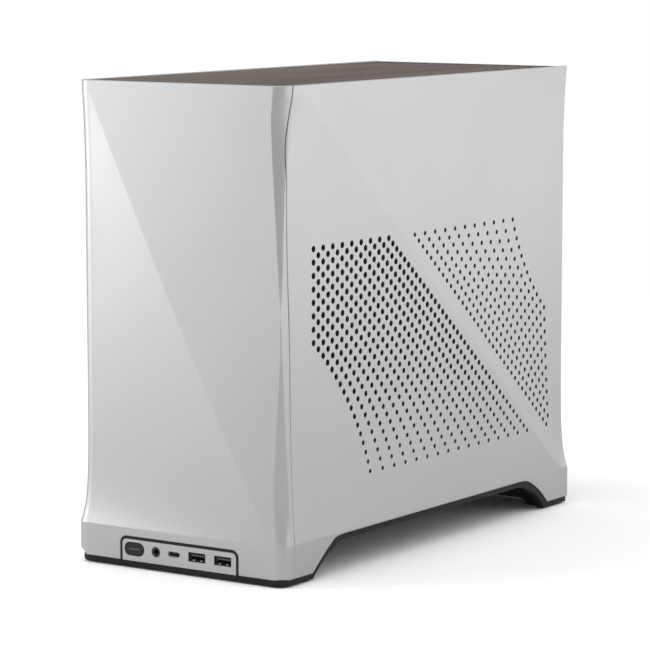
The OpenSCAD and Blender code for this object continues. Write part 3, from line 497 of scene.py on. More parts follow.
def border_edges(faces):
    """Directed edges that only one face uses."""
    sides = {(f[i], f[(i + 1) % 3]) for f in faces for i in range(3)}
    return [(f[i], f[(i + 1) % 3]) for f in faces for i in range(3) if (f[(i + 1) % 3], f[i]) not in sides]


def make_sheet(name, point, outline, holes, lines, fill, thick, rim, flip=False):
    """A sheet with thickness over a flat outline.

    point places a flat position on the outer face, holes are closed loops with a centre and radius,
    lines are open lines that the faces keep, fill holds loose points and rim is the bevel of the edge.
    """
    flat, faces = flat_faces(outline, holes, lines, fill, rim)
    if flip:
        faces = [f[::-1] for f in faces]
    count = len(flat)
    border = border_edges(faces)
    tree = hole_tree(holes)
    edge = set()
    for v in {v for pair in border for v in pair}:
        hole, away = nearest_hole(holes, tree, flat[v])
        if not hole or away >= hole[2] * 1.02:
            edge.add(v)

    def slope(p):
        e = 0.02
        du = point(p[0] + e, p[1]) - point(p[0] - e, p[1])
        dv = point(p[0], p[1] + e) - point(p[0], p[1] - e)
        n = du.cross(dv)
        if flip:
            n.negate()
        return n.normalized()

    # Normals are read a little way into each face, so that a kept line stays crisp.
    total = [Vector((0.0, 0.0, 0.0)) for _ in range(count)]
    face_rows = []
    for f in faces:
        mid = flat[f].mean(axis=0)
        row = []
        for v in f:
            away = mid - flat[v]
            away = away / max(1e-9, np.linalg.norm(away))
            n = slope(flat[v] + away * 0.06)
            total[v] += n
            row.append(n)
        face_rows.append(row)
    for n in total:
        if abs(n.z) < 0.5 * n.length:
            n.z = 0.0
        n.normalize()
    outer = [point(p[0], p[1]) for p in flat]
    inner = [outer[v] - total[v] * thick for v in range(count)]
    for v in edge:
        outer[v] = outer[v] - total[v] * rim
    polys = [list(f) for f in faces]
    polys += [[v + count for v in f[::-1]] for f in faces]
    polys += [[b, a, a + count, b + count] for a, b in border]
    mesh = bpy.data.meshes.new(name)
    mesh.from_pydata([tuple(c * MM) for c in outer + inner], [], polys)
    mesh.update()
    normals = []
    for i, poly in enumerate(mesh.polygons):
        if i < len(faces) and edge.isdisjoint(faces[i]):
            normals.extend(tuple(n) for n in face_rows[i])
        else:
            normals.extend(tuple(poly.normal) for _ in poly.loop_indices)
    mesh.polygons.foreach_set("use_smooth", [True] * len(mesh.polygons))
    mesh.normals_split_custom_set(normals)
    return show(name, mesh)


def place(made, body, slot_name, *stands_for):
    """Gives a piece its finish and lets it ride on its body."""
    made.data.materials.append(MATERIALS[slot_name])
    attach(made, body)
    if stands_for:
        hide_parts(*stands_for)


def show(name, data):
    """A new object in the scene for a mesh, light or camera."""
    made = bpy.data.objects.new(name, data)
    bpy.context.scene.collection.objects.link(made)
    return made


def show_aimed(name, data, spot, target):
    """A new light or camera that looks from a spot at a target."""
    made = show(name, data)
    made.location = spot
    aim = Vector(target) - made.location
    made.rotation_euler = aim.to_track_quat("-Z", "Y").to_euler()
    return made


def make_blocks(name, spans, bevel):
    """One mesh of bevelled blocks, each given by its lowest and highest corner in millimetres."""
    build = bmesh.new()
    for low, high in spans:
        cube = bmesh.ops.create_cube(build, size=1.0)
        for v in cube["verts"]:
            v.co = [lerp(low[i], high[i], v.co[i] + 0.5) * MM for i in range(3)]
    bmesh.ops.bevel(build, geom=build.edges[:], offset=bevel * MM, segments=2, affect="EDGES")
    mesh = bpy.data.meshes.new(name)
    build.to_mesh(mesh)
    build.free()
    return show(name, mesh)


def make_strip(name, rings):
    """A solid swept round a closed path, from closed rings of points with equal counts."""
    count = len(rings[0])
    coords = [tuple(c * MM for c in p) for ring in rings for p in ring]
    faces = []
    for i in range(len(rings)):
        a = i * count
        b = ((i + 1) % len(rings)) * count
        for k in range(count):
            n = (k + 1) % count
            faces.append((a + k, a + n, b + n, b + k))
    mesh = bpy.data.meshes.new(name)
    mesh.from_pydata(coords, [], faces)
    mesh.polygons.foreach_set("use_smooth", [True] * len(faces))
    mesh.set_sharp_from_angle(angle=math.radians(28))
    return show(name, mesh)


# ---------- effects and materials ----------


def start_group(name, inputs, outputs):
    """An empty node group with named sockets; gives the tree, its input and its output."""
    tree = bpy.data.node_groups.new(name, "ShaderNodeTree")
    for label, kind, value in inputs:
        socket = tree.interface.new_socket(label, in_out="INPUT", socket_type=kind)
        socket.default_value = value
    for label, kind in outputs:
        tree.interface.new_socket(label, in_out="OUTPUT", socket_type=kind)
    return tree, tree.nodes.new("NodeGroupInput"), tree.nodes.new("NodeGroupOutput")


def feed(tree, socket, value):
    """Links another socket to an input, or sets the input to a value."""
    if isinstance(value, bpy.types.NodeSocket):
        tree.links.new(value, socket)
    else:
        socket.default_value = value


def noise(tree, scale, detail, stretch=None):
    """A noise texture in object space, stretched if asked; gives its value."""
    coords = tree.nodes.new("ShaderNodeTexCoord")
    source = coords.outputs["Object"]
    if stretch:
        mapping = tree.nodes.new("ShaderNodeMapping")
        mapping.inputs["Scale"].default_value = stretch
        tree.links.new(source, mapping.inputs["Vector"])
        source = mapping.outputs["Vector"]
    node = tree.nodes.new("ShaderNodeTexNoise")
    node.inputs["Detail"].default_value = detail
    feed(tree, node.inputs["Scale"], scale)
    tree.links.new(source, node.inputs["Vector"])
    return node.outputs["Fac"]


def mix_colour(tree, factor, a, b):
    """Mixes two colours, each given as a socket or a value."""
    node = tree.nodes.new("ShaderNodeMix")
    node.data_type = "RGBA"
    for socket, value in ((node.inputs[0], factor), (node.inputs[6], a), (node.inputs[7], b)):
        feed(tree, socket, value)
    return node.outputs[2]


def combine(tree, operation, a, b):
    """Adds or multiplies two values."""
    node = tree.nodes.new("ShaderNodeMath")
    node.operation = operation
    tree.links.new(a, node.inputs[0])
    tree.links.new(b, node.inputs[1])
    return node.outputs[0]


def remap(tree, value, low, high, first, last):
    """Maps low..high to first..last, clamped."""
    node = tree.nodes.new("ShaderNodeMapRange")
    tree.links.new(value, node.inputs["Value"])
    for key, amount in (("From Min", low), ("From Max", high), ("To Min", first), ("To Max", last)):
        feed(tree, node.inputs[key], amount)
    return node.outputs["Result"]


def surface_group():
    """Fine grain and slow mottling of a moulded, painted or blasted surface."""
    tree, come, go = start_group(
        "surface_grain",
        (
            ("Colour", "NodeSocketColor", (0.5, 0.5, 0.5, 1.0)),
            ("Grain Scale", "NodeSocketFloat", 1500.0),
            ("Mottle Scale", "NodeSocketFloat", 12.0),
            ("Mottle Amount", "NodeSocketFloat", 0.03),
            ("Rough Low", "NodeSocketFloat", 0.4),
            ("Rough High", "NodeSocketFloat", 0.5),
        ),
        (("Colour", "NodeSocketColor"), ("Roughness", "NodeSocketFloat"), ("Height", "NodeSocketFloat")),
    )
    grain = noise(tree, come.outputs["Grain Scale"], 2.0)
    mottle = noise(tree, come.outputs["Mottle Scale"], 3.0)
    dark = mix_colour(tree, come.outputs["Mottle Amount"], come.outputs["Colour"], (0.0, 0.0, 0.0, 1.0))
    light = mix_colour(tree, come.outputs["Mottle Amount"], come.outputs["Colour"], (1.0, 1.0, 1.0, 1.0))
    share = remap(tree, mottle, 0.3, 0.7, 0.0, 1.0)
    tree.links.new(mix_colour(tree, share, dark, light), go.inputs["Colour"])
    rough = remap(tree, mottle, 0.3, 0.7, come.outputs["Rough Low"], come.outputs["Rough High"])
    tree.links.new(rough, go.inputs["Roughness"])
    tree.links.new(grain, go.inputs["Height"])
    return tree


def dust_group():
    """A thin veil of dust on faces that look up."""
    tree, come, go = start_group(
        "settled_dust",
        (
            ("Colour", "NodeSocketColor", (0.5, 0.5, 0.5, 1.0)),
            ("Dust", "NodeSocketColor", (0.45, 0.43, 0.4, 1.0)),
            ("Amount", "NodeSocketFloat", 0.05),
        ),
        (("Colour", "NodeSocketColor"),),
    )
    geometry = tree.nodes.new("ShaderNodeNewGeometry")
    split = tree.nodes.new("ShaderNodeSeparateXYZ")
    tree.links.new(geometry.outputs["Normal"], split.inputs[0])
    up = remap(tree, split.outputs["Z"], 0.3, 1.0, 0.0, come.outputs["Amount"])
    share = combine(tree, "MULTIPLY", up, noise(tree, 60.0, 4.0))
    veiled = mix_colour(tree, share, come.outputs["Colour"], come.outputs["Dust"])
    tree.links.new(veiled, go.inputs["Colour"])
    return tree


def walnut_group():
    """Walnut grain that runs from front to back: long streaks, fine pores and slow tone."""
    tree, come, go = start_group(
        "walnut_grain",
        (
            ("Light", "NodeSocketColor", (0.2, 0.15, 0.12, 1.0)),
            ("Dark", "NodeSocketColor", (0.1, 0.08, 0.07, 1.0)),
            ("Pore", "NodeSocketColor", (0.05, 0.04, 0.035, 1.0)),
        ),
        (("Colour", "NodeSocketColor"), ("Roughness", "NodeSocketFloat"), ("Height", "NodeSocketFloat")),
    )
    slow = noise(tree, 14.0, 3.0, stretch=(1.6, 0.25, 1.0))
    streak = noise(tree, 190.0, 5.0, stretch=(2.2, 0.06, 2.2))
    pores = noise(tree, 900.0, 3.0, stretch=(2.4, 0.045, 2.4))
    tone = remap(tree, combine(tree, "ADD", slow, streak), 0.72, 1.28, 0.0, 1.0)
    wood = mix_colour(tree, tone, come.outputs["Dark"], come.outputs["Light"])
    open_grain = remap(tree, pores, 0.56, 0.68, 0.0, 0.75)
    tree.links.new(mix_colour(tree, open_grain, wood, come.outputs["Pore"]), go.inputs["Colour"])
    tree.links.new(remap(tree, open_grain, 0.0, 1.0, 0.52, 0.72), go.inputs["Roughness"])
    tree.links.new(remap(tree, open_grain, 0.0, 1.0, 1.0, 0.0), go.inputs["Height"])
    return tree


# Slot: metallic, low and high roughness, grain scale, bump depth in mm, mottling, settled dust.
FINISHES = {
    "anodised_aluminium": (1.0, 0.36, 0.42, 2600.0, 0.006, 0.012, 0.0),
    "black_plastic": (0.0, 0.42, 0.5, 1600.0, 0.02, 0.004, 0.0),
    "black_steel": (0.0, 0.42, 0.55, 1300.0, 0.02, 0.01, 0.05),
    "rubber_black": (0.0, 0.75, 0.85, 1200.0, 0.03, 0.02, 0.03),
    "bare_steel": (1.0, 0.28, 0.4, 1800.0, 0.005, 0.02, 0.0),
    "button_plastic": (0.0, 0.38, 0.44, 2200.0, 0.008, 0.01, 0.0),
    "light_guide": (0.0, 0.2, 0.3, 900.0, 0.002, 0.01, 0.0),
    "circuit_board": (0.0, 0.35, 0.5, 700.0, 0.01, 0.04, 0.04),
    "connector_plastic": (0.0, 0.4, 0.5, 1500.0, 0.01, 0.02, 0.03),
    "heatsink_aluminium": (1.0, 0.3, 0.42, 1400.0, 0.006, 0.02, 0.0),
    "dark_heatsink": (0.6, 0.38, 0.5, 1400.0, 0.006, 0.02, 0.04),
    "fan_plastic": (0.0, 0.38, 0.48, 1500.0, 0.01, 0.02, 0.05),
    "brass_metal": (1.0, 0.25, 0.35, 1500.0, 0.004, 0.03, 0.0),
    "gpu_shroud_plastic": (0.0, 0.45, 0.55, 1300.0, 0.02, 0.02, 0.05),
    "psu_paint": (0.0, 0.42, 0.55, 1100.0, 0.02, 0.02, 0.05),
    "chrome_wire": (1.0, 0.2, 0.3, 1200.0, 0.003, 0.02, 0.0),
    "filter_mesh": (0.0, 0.7, 0.85, 900.0, 0.1, 0.05, 0.08),
    "cable_black": (0.0, 0.55, 0.65, 1100.0, 0.02, 0.02, 0.04),
}


def shader_start(name):
    """A new material with its Principled BSDF."""
    material = bpy.data.materials.new(name)
    material.use_nodes = True
    tree = material.node_tree
    return material, tree, tree.nodes["Principled BSDF"]


def bump(tree, shader, height, depth):
    """Fine relief of a given depth in millimetres."""
    node = tree.nodes.new("ShaderNodeBump")
    node.inputs["Distance"].default_value = depth * MM
    node.inputs["Strength"].default_value = 1.0
    tree.links.new(height, node.inputs["Height"])
    tree.links.new(node.outputs["Normal"], shader.inputs["Normal"])


def add_group(tree, group, values):
    """Places a node group in a material with its own values."""
    node = tree.nodes.new("ShaderNodeGroup")
    node.node_tree = group
    for label, value in values.items():
        node.inputs[label].default_value = value
    return node


def make_finish(slot_name, colour, groups):
    """The material of one slot."""
    metallic, low, high, scale, depth, mottle, dust = FINISHES[slot_name]
    material, tree, shader = shader_start(slot_name)
    values = {"Grain Scale": scale, "Mottle Amount": mottle, "Rough Low": low, "Rough High": high}
    grain = add_group(tree, groups["grain"], {"Colour": (*colour, 1.0), **values})
    source = grain.outputs["Colour"]
    if dust > 0:
        veil = add_group(tree, groups["dust"], {"Amount": dust})
        tree.links.new(source, veil.inputs["Colour"])
        source = veil.outputs["Colour"]
    tree.links.new(source, shader.inputs["Base Color"])
    tree.links.new(grain.outputs["Roughness"], shader.inputs["Roughness"])
    shader.inputs["Metallic"].default_value = metallic
    bump(tree, shader, grain.outputs["Height"], depth)
    return material


def seen_as(tree, other, seen, output):
    """Shows one shader to the camera and another to every other ray."""
    path = tree.nodes.new("ShaderNodeLightPath")
    mix = tree.nodes.new("ShaderNodeMixShader")
    tree.links.new(path.outputs["Is Camera Ray"], mix.inputs[0])
    tree.links.new(other.outputs[0], mix.inputs[1])
    tree.links.new(seen.outputs[0], mix.inputs[2])
    tree.links.new(mix.outputs[0], tree.nodes[output].inputs["Surface"])


# ---------- settings ----------


class ComputerSizes(bpy.types.PropertyGroup):
    """Sizes of the visible pieces."""

    hole_radius_large: FloatProperty(
        name="Large hole radius",
        description="Radius of the largest holes in the side panels",
        default=0.0021,
        min=0.0005,
        unit="LENGTH",
    )
    hole_radius_small: FloatProperty(
        name="Small hole radius",
        description="Radius of the smallest holes in the side panels",
        default=0.00145,
        min=0.0005,
        unit="LENGTH",
    )
    hole_sides: IntProperty(
        name="Hole sides",
        description="Number of straight sides that make up a hole",
        default=14,
        min=6,
        max=32,
    )
    edge_bevel: FloatProperty(
        name="Skin edge bevel",
        description="Bevel along the edges of the metal skins",
        default=0.00035,
        min=0.0001,
        unit="LENGTH",
    )
    board_bevel: FloatProperty(
        name="Board edge bevel",
        description="Bevel along the edge of the wooden top",
        default=0.0005,
        min=0.0001,
        unit="LENGTH",
    )


class ComputerColours(bpy.types.PropertyGroup):
    """Colours of the main finishes."""

    metal: FloatVectorProperty(
        name="Metal skin",
        description="Colour of the blasted and anodised aluminium",
        default=(0.76, 0.76, 0.76),
        min=0.0,
        max=1.0,
        subtype="COLOR",
    )
    black: FloatVectorProperty(
        name="Black moulding",
        description="Colour of the base strip, the arch linings and the socket frame",
        default=(0.006, 0.006, 0.006),
        min=0.0,
        max=1.0,
        subtype="COLOR",
    )
    button: FloatVectorProperty(
        name="Power button",
        description="Colour of the power button",
        default=(0.018, 0.018, 0.02),
        min=0.0,
        max=1.0,
        subtype="COLOR",
    )
    light_bar: FloatVectorProperty(
        name="Light bar",
        description="Colour of the unlit light bar in the power button",
        default=(0.16, 0.16, 0.165),
        min=0.0,
        max=1.0,
        subtype="COLOR",
    )
    wood_light: FloatVectorProperty(
        name="Wood, light streaks",
        description="Lighter tone of the wooden top",
        default=(0.235, 0.175, 0.14),
        min=0.0,
        max=1.0,
        subtype="COLOR",
    )
    wood_dark: FloatVectorProperty(
        name="Wood, dark streaks",
        description="Darker tone of the wooden top",
        default=(0.085, 0.06, 0.046),
        min=0.0,
        max=1.0,
        subtype="COLOR",
    )
    floor: FloatVectorProperty(
        name="Floor",
        description="Colour of the floor under the computer",
        default=(0.8, 0.8, 0.8),
        min=0.0,
        max=1.0,
        subtype="COLOR",
    )


class ComputerStage(bpy.types.PropertyGroup):
    """Light and camera."""

    key_power: FloatProperty(
        name="Key light",
        description="Power of the large light at the front left",
        default=10.5,
        min=0.0,
        unit="POWER",
    )
    back_power: FloatProperty(
        name="Back light",
        description="Power of the large light at the back right",
        default=6.6,
        min=0.0,
        unit="POWER",
    )
    top_power: FloatProperty(
        name="Top light",
        description="Power of the large light overhead",
        default=9.0,
        min=0.0,
        unit="POWER",
    )
    ambient: FloatProperty(
        name="Surroundings",
        description="Brightness of the grey surroundings",
        default=0.43,
        min=0.0,
    )
    floor_lift: FloatProperty(
        name="Floor lift",
        description="How strongly the floor shows its light to the camera, so that it stays pale",
        default=1.7,
        min=0.0,
    )
    focal_length: FloatProperty(
        name="Focal length",
        description="Focal length of the camera in millimetres",
        default=170.4,
        min=10.0,
    )


# ---------- operators ----------


class COMPUTER_OT_finishes(bpy.types.Operator):
    """Makes the materials and gives every CAD piece its own"""

    bl_idname = "computer.finishes"
    bl_label = "Finishes"

    def execute(self, context):
        colours = context.scene.computer_colours
        overrides = {
            "anodised_aluminium": colours.metal,
            "black_plastic": colours.black,
            "button_plastic": colours.button,
            "light_guide": colours.light_bar,
        }
        groups = {"grain": surface_group(), "dust": dust_group()}
        for entry in frame["record"]["materials"]:
            slot_name = entry["slot"]
            colour = tuple(entry["base_color"])
            if slot_name in overrides:
                colour = tuple(overrides[slot_name])
            if slot_name in FINISHES:
                MATERIALS[slot_name] = make_finish(slot_name, colour, groups)
        material, tree, shader = shader_start("walnut")
        tones = {"Light": (*colours.wood_light, 1.0), "Dark": (*colours.wood_dark, 1.0)}
        grain = add_group(tree, walnut_group(), tones)
        tree.links.new(grain.outputs["Colour"], shader.inputs["Base Color"])
        tree.links.new(grain.outputs["Roughness"], shader.inputs["Roughness"])
        bump(tree, shader, grain.outputs["Height"], 0.05)
        MATERIALS["walnut"] = material
        for part in frame["record"]["subparts"]:
            node = frame["nodes"][part["node"]]
            node.data.materials.clear()
            node.data.materials.append(MATERIALS[part["material_slot"]])
        return {"FINISHED"}


class COMPUTER_OT_front_shell(bpy.types.Operator):
    """Makes the front shell: a creased front, two vertical corners and the socket bay"""

    bl_idname = "computer.front_shell"
    bl_label = "Front shell"

    def execute(self, context):
        rim = context.scene.computer_sizes.edge_bevel / MM
        rows = heights()
        edge = FRONT_SPAN + LEAD_SPAN + SIDE_SPAN
        r = BAY_RADIUS
        wide = BAY_RIGHT - BAY_LEFT - 2 * r
        bay = [(BAY_LEFT, z) for z in (SKIN_BOTTOM, 9.0, 13.0)]
        bay += arc(BAY_LEFT + r, BAY_TOP - r, r, 180, 90, 8)
        bay += [(BAY_LEFT + r + wide * i / 16, BAY_TOP) for i in range(1, 16)]
        bay += arc(BAY_RIGHT - r, BAY_TOP - r, r, 90, 0, 8)
        bay += [(BAY_RIGHT, z) for z in (13.0, 9.0, SKIN_BOTTOM)]
        bay = [(shell_place(x, z), z) for x, z in bay]
        outline = [(-edge, SKIN_BOTTOM), (-FRONT_SPAN, SKIN_BOTTOM)] + bay
        outline += [(FRONT_SPAN, SKIN_BOTTOM), (edge, SKIN_BOTTOM)]
        outline += [(edge, z) for z in rows[1:]]
        outline += [(edge - 2 * edge * i / 60, CASE_TOP) for i in range(1, 61)]
        outline += [(-edge, z) for z in rows[-2:0:-1]]
        lines = [[(-edge, SKIRT_TOP), (edge, SKIRT_TOP)]]
        for a in (-FRONT_SPAN - LEAD_SPAN, -FRONT_SPAN, FRONT_SPAN, FRONT_SPAN + LEAD_SPAN):
            lines.append([(a, z) for z in rows])
        skirt = rows.index(SKIRT_TOP)
        lines.append([(shell_place(front_ridge(z), z), z) for z in rows[skirt:]])
        columns = [-FRONT_SPAN + 5.0 * i for i in range(1, 28)]
        columns += [s * (FRONT_SPAN + LEAD_SPAN * i / 5) for s in (-1, 1) for i in range(1, 5)]
        near = [FRONT_SPAN + LEAD_SPAN + SIDE_SPAN * i / 12 for i in range(1, 12)]
        columns += near + [-a for a in near]
        clear = BAY_TOP + 3.0
        fill = [(a, z) for a in columns for z in rows[1:-1] if z >= clear or abs(a) >= 48]
        made = make_sheet("front_shell_skin", shell_point, outline, [], lines, fill, SKIN, rim)
        place(made, "chassis", "anodised_aluminium", "front_shell")
        return {"FINISHED"}


def make_side(name, side, sizes):
    """A perforated side panel with its arch."""
    rows = heights()
    rear = [(HALF_LENGTH - wall_inset(z), z) for z in rows]
    front = [(Corner(side, z).seam + SEAM_GAP / 2, z) for z in rows]
    outline = split_line([front[0], (ARCH_FRONT, SKIN_BOTTOM)], 8.0)
    outline += arch()
    outline += split_line([(ARCH_REAR, SKIN_BOTTOM), rear[0]], 8.0)
    outline += rear[1:]
    outline += split_line([rear[-1], front[-1]], 8.0)[1:]
    outline += front[-2:0:-1]
    holes = []
    for y, z, r in perforation(sizes):
        loop = arc(y, z, r, 0, 360 - 360 / sizes.hole_sides, sizes.hole_sides - 1)
        holes.append((loop, (y, z), r))
    skirt = rows.index(SKIRT_TOP)
    lines = [[front[skirt], rear[skirt]]]
    lines.append([(side_ridge(z), z) for z in rows[skirt:]])
    tree = hole_tree(holes)
    fill = []
    for i, z in enumerate(rows[1:-1], 1):
        spots = [front[i][0] + 2.0 * k for k in range(1, 12)]
        spots += [-140.0 + 8.0 * k for k in range(40)]
        if z < 25.5:
            spots = [y for y in spots if y < ARCH_FRONT - 2 or y > ARCH_REAR + 2]
        for y in spots:
            hole, away = nearest_hole(holes, tree, (y, z))
            if y < rear[i][0] - 1.0 and away > hole[2] + 0.8:
                fill.append((y, z))

    def point(y, z):
        return side_point(y, z, side)

    rim = sizes.edge_bevel / MM
    return make_sheet(name, point, outline, holes, lines, fill, SKIN, rim, flip=side < 0)


class COMPUTER_OT_side_panels(bpy.types.Operator):
    """Makes the two perforated side panels"""

    bl_idname = "computer.side_panels"
    bl_label = "Side panels"

    def execute(self, context):
        sizes = context.scene.computer_sizes
        right = make_side("right_panel_skin", 1, sizes)
        place(right, "right_panel", "anodised_aluminium", "right_side_panel")
        left = make_side("left_panel_skin", -1, sizes)
        place(left, "left_panel", "anodised_aluminium", "left_side_panel")
        return {"FINISHED"}


class COMPUTER_OT_wood_top(bpy.types.Operator):
    """Makes the wooden top board with its vent slots"""

    bl_idname = "computer.wood_top"
    bl_label = "Wooden top"

    def execute(self, context):
        low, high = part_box("top_panel_board")
        low = low / MM
        high = high / MM
        r = 5.5
        outline = rounded(low.x, low.y, high.x, high.y, (0.3, 0.3, r, r), 8)
        holes = []
        for k in range(-7, 8):
            x = 9.8 * k
            y = high.y - 15.0
            loop = rounded(x - 2.75, y - 3.5, x + 2.75, y + 3.5, (1.2,) * 4, 4)
            holes.append((loop, (x, y), 4.6))

        def point(x, y):
            return Vector((x, y, high.z))

        rim = context.scene.computer_sizes.board_bevel / MM
        made = make_sheet("wood_board", point, outline, holes, [], [], high.z - low.z, rim)
        place(made, "top_panel", "walnut", "top_panel_board")
        return {"FINISHED"}


def base_path():
    """Plan of the base: points with their inward direction, anticlockwise from the rear right."""
    r = 9.0
    w = HALF_WIDTH
    h = HALF_LENGTH

    def corner(side, first, last):
        turned = []
        for x, y in arc(0.0, 0.0, 1.0, first, last, 10):
            turned.append((side * (w - r) + r * x, -h + r + r * y, -x, -y))
        return turned

    path = [(x, h, 0.0, -1.0) for x in np.linspace(w, -w, 34)]
    path[0] = (w, h, -1.0, -1.0)
    path[-1] = (-w, h, 1.0, -1.0)
    sides = np.unique(np.concatenate((np.linspace(-150, 155, 122), np.linspace(155, h - 1, 5))))
    path += [(-w, y, 1.0, 0.0) for y in sides[::-1]]
    path += corner(-1, 180, 270)
    # Two close points at each end of the socket bay let the moulding step down there.
    front = list(np.linspace(-w + r, w - r, 60)[1:-1])
    for x in (BAY_LEFT - BAY_FRAME, BAY_RIGHT + BAY_FRAME):
        front += [x - 0.02, x + 0.02]
    path += [(x, -h, 0.0, 1.0) for x in sorted(front)]
    path += corner(1, 270, 360)[1:]
    path += [(w, y, -1.0, 0.0) for y in sides]
    return path


class COMPUTER_OT_base(bpy.types.Operator):
    """Makes the black base moulding: a rounded strip that follows the skirt and the arches"""

    bl_idname = "computer.base"
    bl_label = "Base moulding"

    def execute(self, context):
        skin_edge = np.array(arch())
        low_edge = np.array(arch(4.4))
        pad_x = 67.0
        rear_x = 66.0
        wall_top = 28.0
        bay_sill = 4.9
        rear_sill = 20.4
        rings = []
        for x, y, nx, ny in base_path():
            under = 0.8
            skin = SKIN_BOTTOM
            if abs(x) > HALF_WIDTH - 1.0:
                if low_edge[0][0] < y < low_edge[-1][0]:
                    under = float(np.interp(y, low_edge[:, 0], low_edge[:, 1]))
                if skin_edge[0][0] < y < skin_edge[-1][0]:
                    skin = float(np.interp(y, skin_edge[:, 0], skin_edge[:, 1]))
            top = wall_top
            if y < -HALF_LENGTH + 1.0 and BAY_LEFT - BAY_FRAME < x < BAY_RIGHT + BAY_FRAME:
                top = bay_sill
            if y > HALF_LENGTH - 1.0 and abs(x) < rear_x:
                top = rear_sill
            lip = max(under + 1.4, skin - 0.3)
            inner = max(under + 0.9, top)
            # Each point is its distance in from the outline, and its height.
            profile = (
                (2.6, top),
                (2.6, lip + 0.01),
                (1.1, lip),
                (1.1, under + 1.1),
                (1.45, under + 0.35),
                (2.2, under),
                (6.5, under),
                (7.0, under + 0.5),
                (7.0, inner),
            )
            rings.append([(x + nx * d, y + ny * d, z) for d, z in profile])
        made = make_strip("base_moulding", rings)
        place(made, "chassis", "black_plastic", "base_frame")
        spans = [((-rear_x, HALF_LENGTH - 7.0, 26.6), (rear_x, HALF_LENGTH - 2.6, wall_top))]
        for x in (-pad_x, pad_x):
            for y in (-160.0, 164.0):
                spans.append(((x - 9.0, y - 7.0, 3.0), (x + 9.0, y + 7.0, 9.0)))
        place(make_blocks("base_pads", spans, 0.4), "chassis", "black_plastic")
        return {"FINISHED"}


class COMPUTER_OT_sockets(bpy.types.Operator):
    """Makes the linings, tongues, contacts and tabs of the front sockets"""

    bl_idname = "computer.sockets"
    bl_label = "Front sockets"

    def execute(self, context):
        # The two USB-A sockets: half their outer width and height, their wall, lip and depth.
        half = 6.5
        tall = 2.9
        wall = 0.35
        lip = 1.6
        deep = 13.6
        low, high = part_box("usb_a_ports")
        face = low.y / MM
        mid = (low.z + high.z) / 2 / MM
        shells = []
        linings = []
        contacts = []
        for x in (low.x / MM + half, high.x / MM - half):
            for side in (-1, 1):
                # Each wall is a black lip at the face and a steel shell behind it.
                z = sorted((mid + side * (tall - wall), mid + side * tall))
                a = sorted((x + side * (half - wall), x + side * half))
                rim = mid - tall + wall + 0.05
                for x0, x1, z0, z1 in ((x - half, x + half, *z), (*a, rim, 2 * mid - rim)):
                    shells.append(((x0, face + lip, z0), (x1, face + deep, z1)))
                    linings.append(((x0, face, z0), (x1, face + lip - 0.05, z1)))
                tab = x + side * 2.9
                contacts.append(((tab - 0.8, face + 0.5, mid - 2.4), (tab + 0.8, face + 5.0, mid - 1.7)))
            # Back wall, tongue and the contacts under it.
            linings.append(((x - 6.1, face + deep - 1.0, mid - 2.5), (x + 6.1, face + deep, mid + 2.5)))
            linings.append(((x - 5.4, face + 0.9, mid + 0.4), (x + 5.4, face + deep - 1.0, mid + 1.9)))
            for k in range(5):
                pin = x + 2.0 * (k - 2)
                contacts.append(((pin - 0.5, face + 0.85, mid + 0.75), (pin + 0.5, face + 1.4, mid + 1.3)))

        # The USB-C socket: an oval steel ring with a black tongue and back wall.
        low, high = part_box("usb_c_port")
        x = (low.x + high.x) / 2 / MM
        z = (low.z + high.z) / 2 / MM
        start = low.y / MM
        end = high.y / MM
        outer = rounded(x - 4.45, z - 1.6, x + 4.45, z + 1.6, (1.55,) * 4)
        inner = rounded(x - 4.15, z - 1.3, x + 4.15, z + 1.3, (1.25,) * 4)
        rings = []
        for loop, y in ((outer, start + 0.4), (outer, end), (inner, end), (inner, start + 0.4)):
            rings.append([(q[0], y, q[1]) for q in loop])
        linings.append(((x - 3.3, start + 1.4, z - 0.35), (x + 3.3, end - 1.0, z + 0.35)))
        linings.append(((x - 4.1, end - 1.0, z - 1.25), (x + 4.1, end - 0.1, z + 1.25)))

        # The board behind: its plate, the push switch, and a plunger that stops short of the button.
        low, high = (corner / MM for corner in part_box("front_io_board"))
        key_low, key_high = (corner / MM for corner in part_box("power_button"))
        x = (key_low.x + key_high.x) / 2
        board = (
            ((low.x, low.y + 0.6, low.z), (high.x, high.y, low.z + 1.6)),
            ((x - 4.0, low.y + 0.7, low.z + 1.6), (x + 4.0, low.y + 5.8, high.z)),
            ((x - 1.2, low.y + 0.1, low.z + 4.0), (x + 1.2, low.y + 0.7, low.z + 6.4)),
        )
        for piece, slot_name, nodes in (
            (make_strip("usb_c_shell", rings), "bare_steel", ("usb_c_port",)),
            (make_blocks("usb_a_shells", shells, 0.06), "bare_steel", ("usb_a_ports",)),
            (make_blocks("usb_a_linings", linings, 0.08), "connector_plastic", ()),
            (make_blocks("usb_a_contacts", contacts, 0.12), "bare_steel", ()),
            (make_blocks("front_board", board, 0.08), "circuit_board", ("front_io_board",)),
        ):
            place(piece, "chassis", slot_name, *nodes)
        return {"FINISHED"}


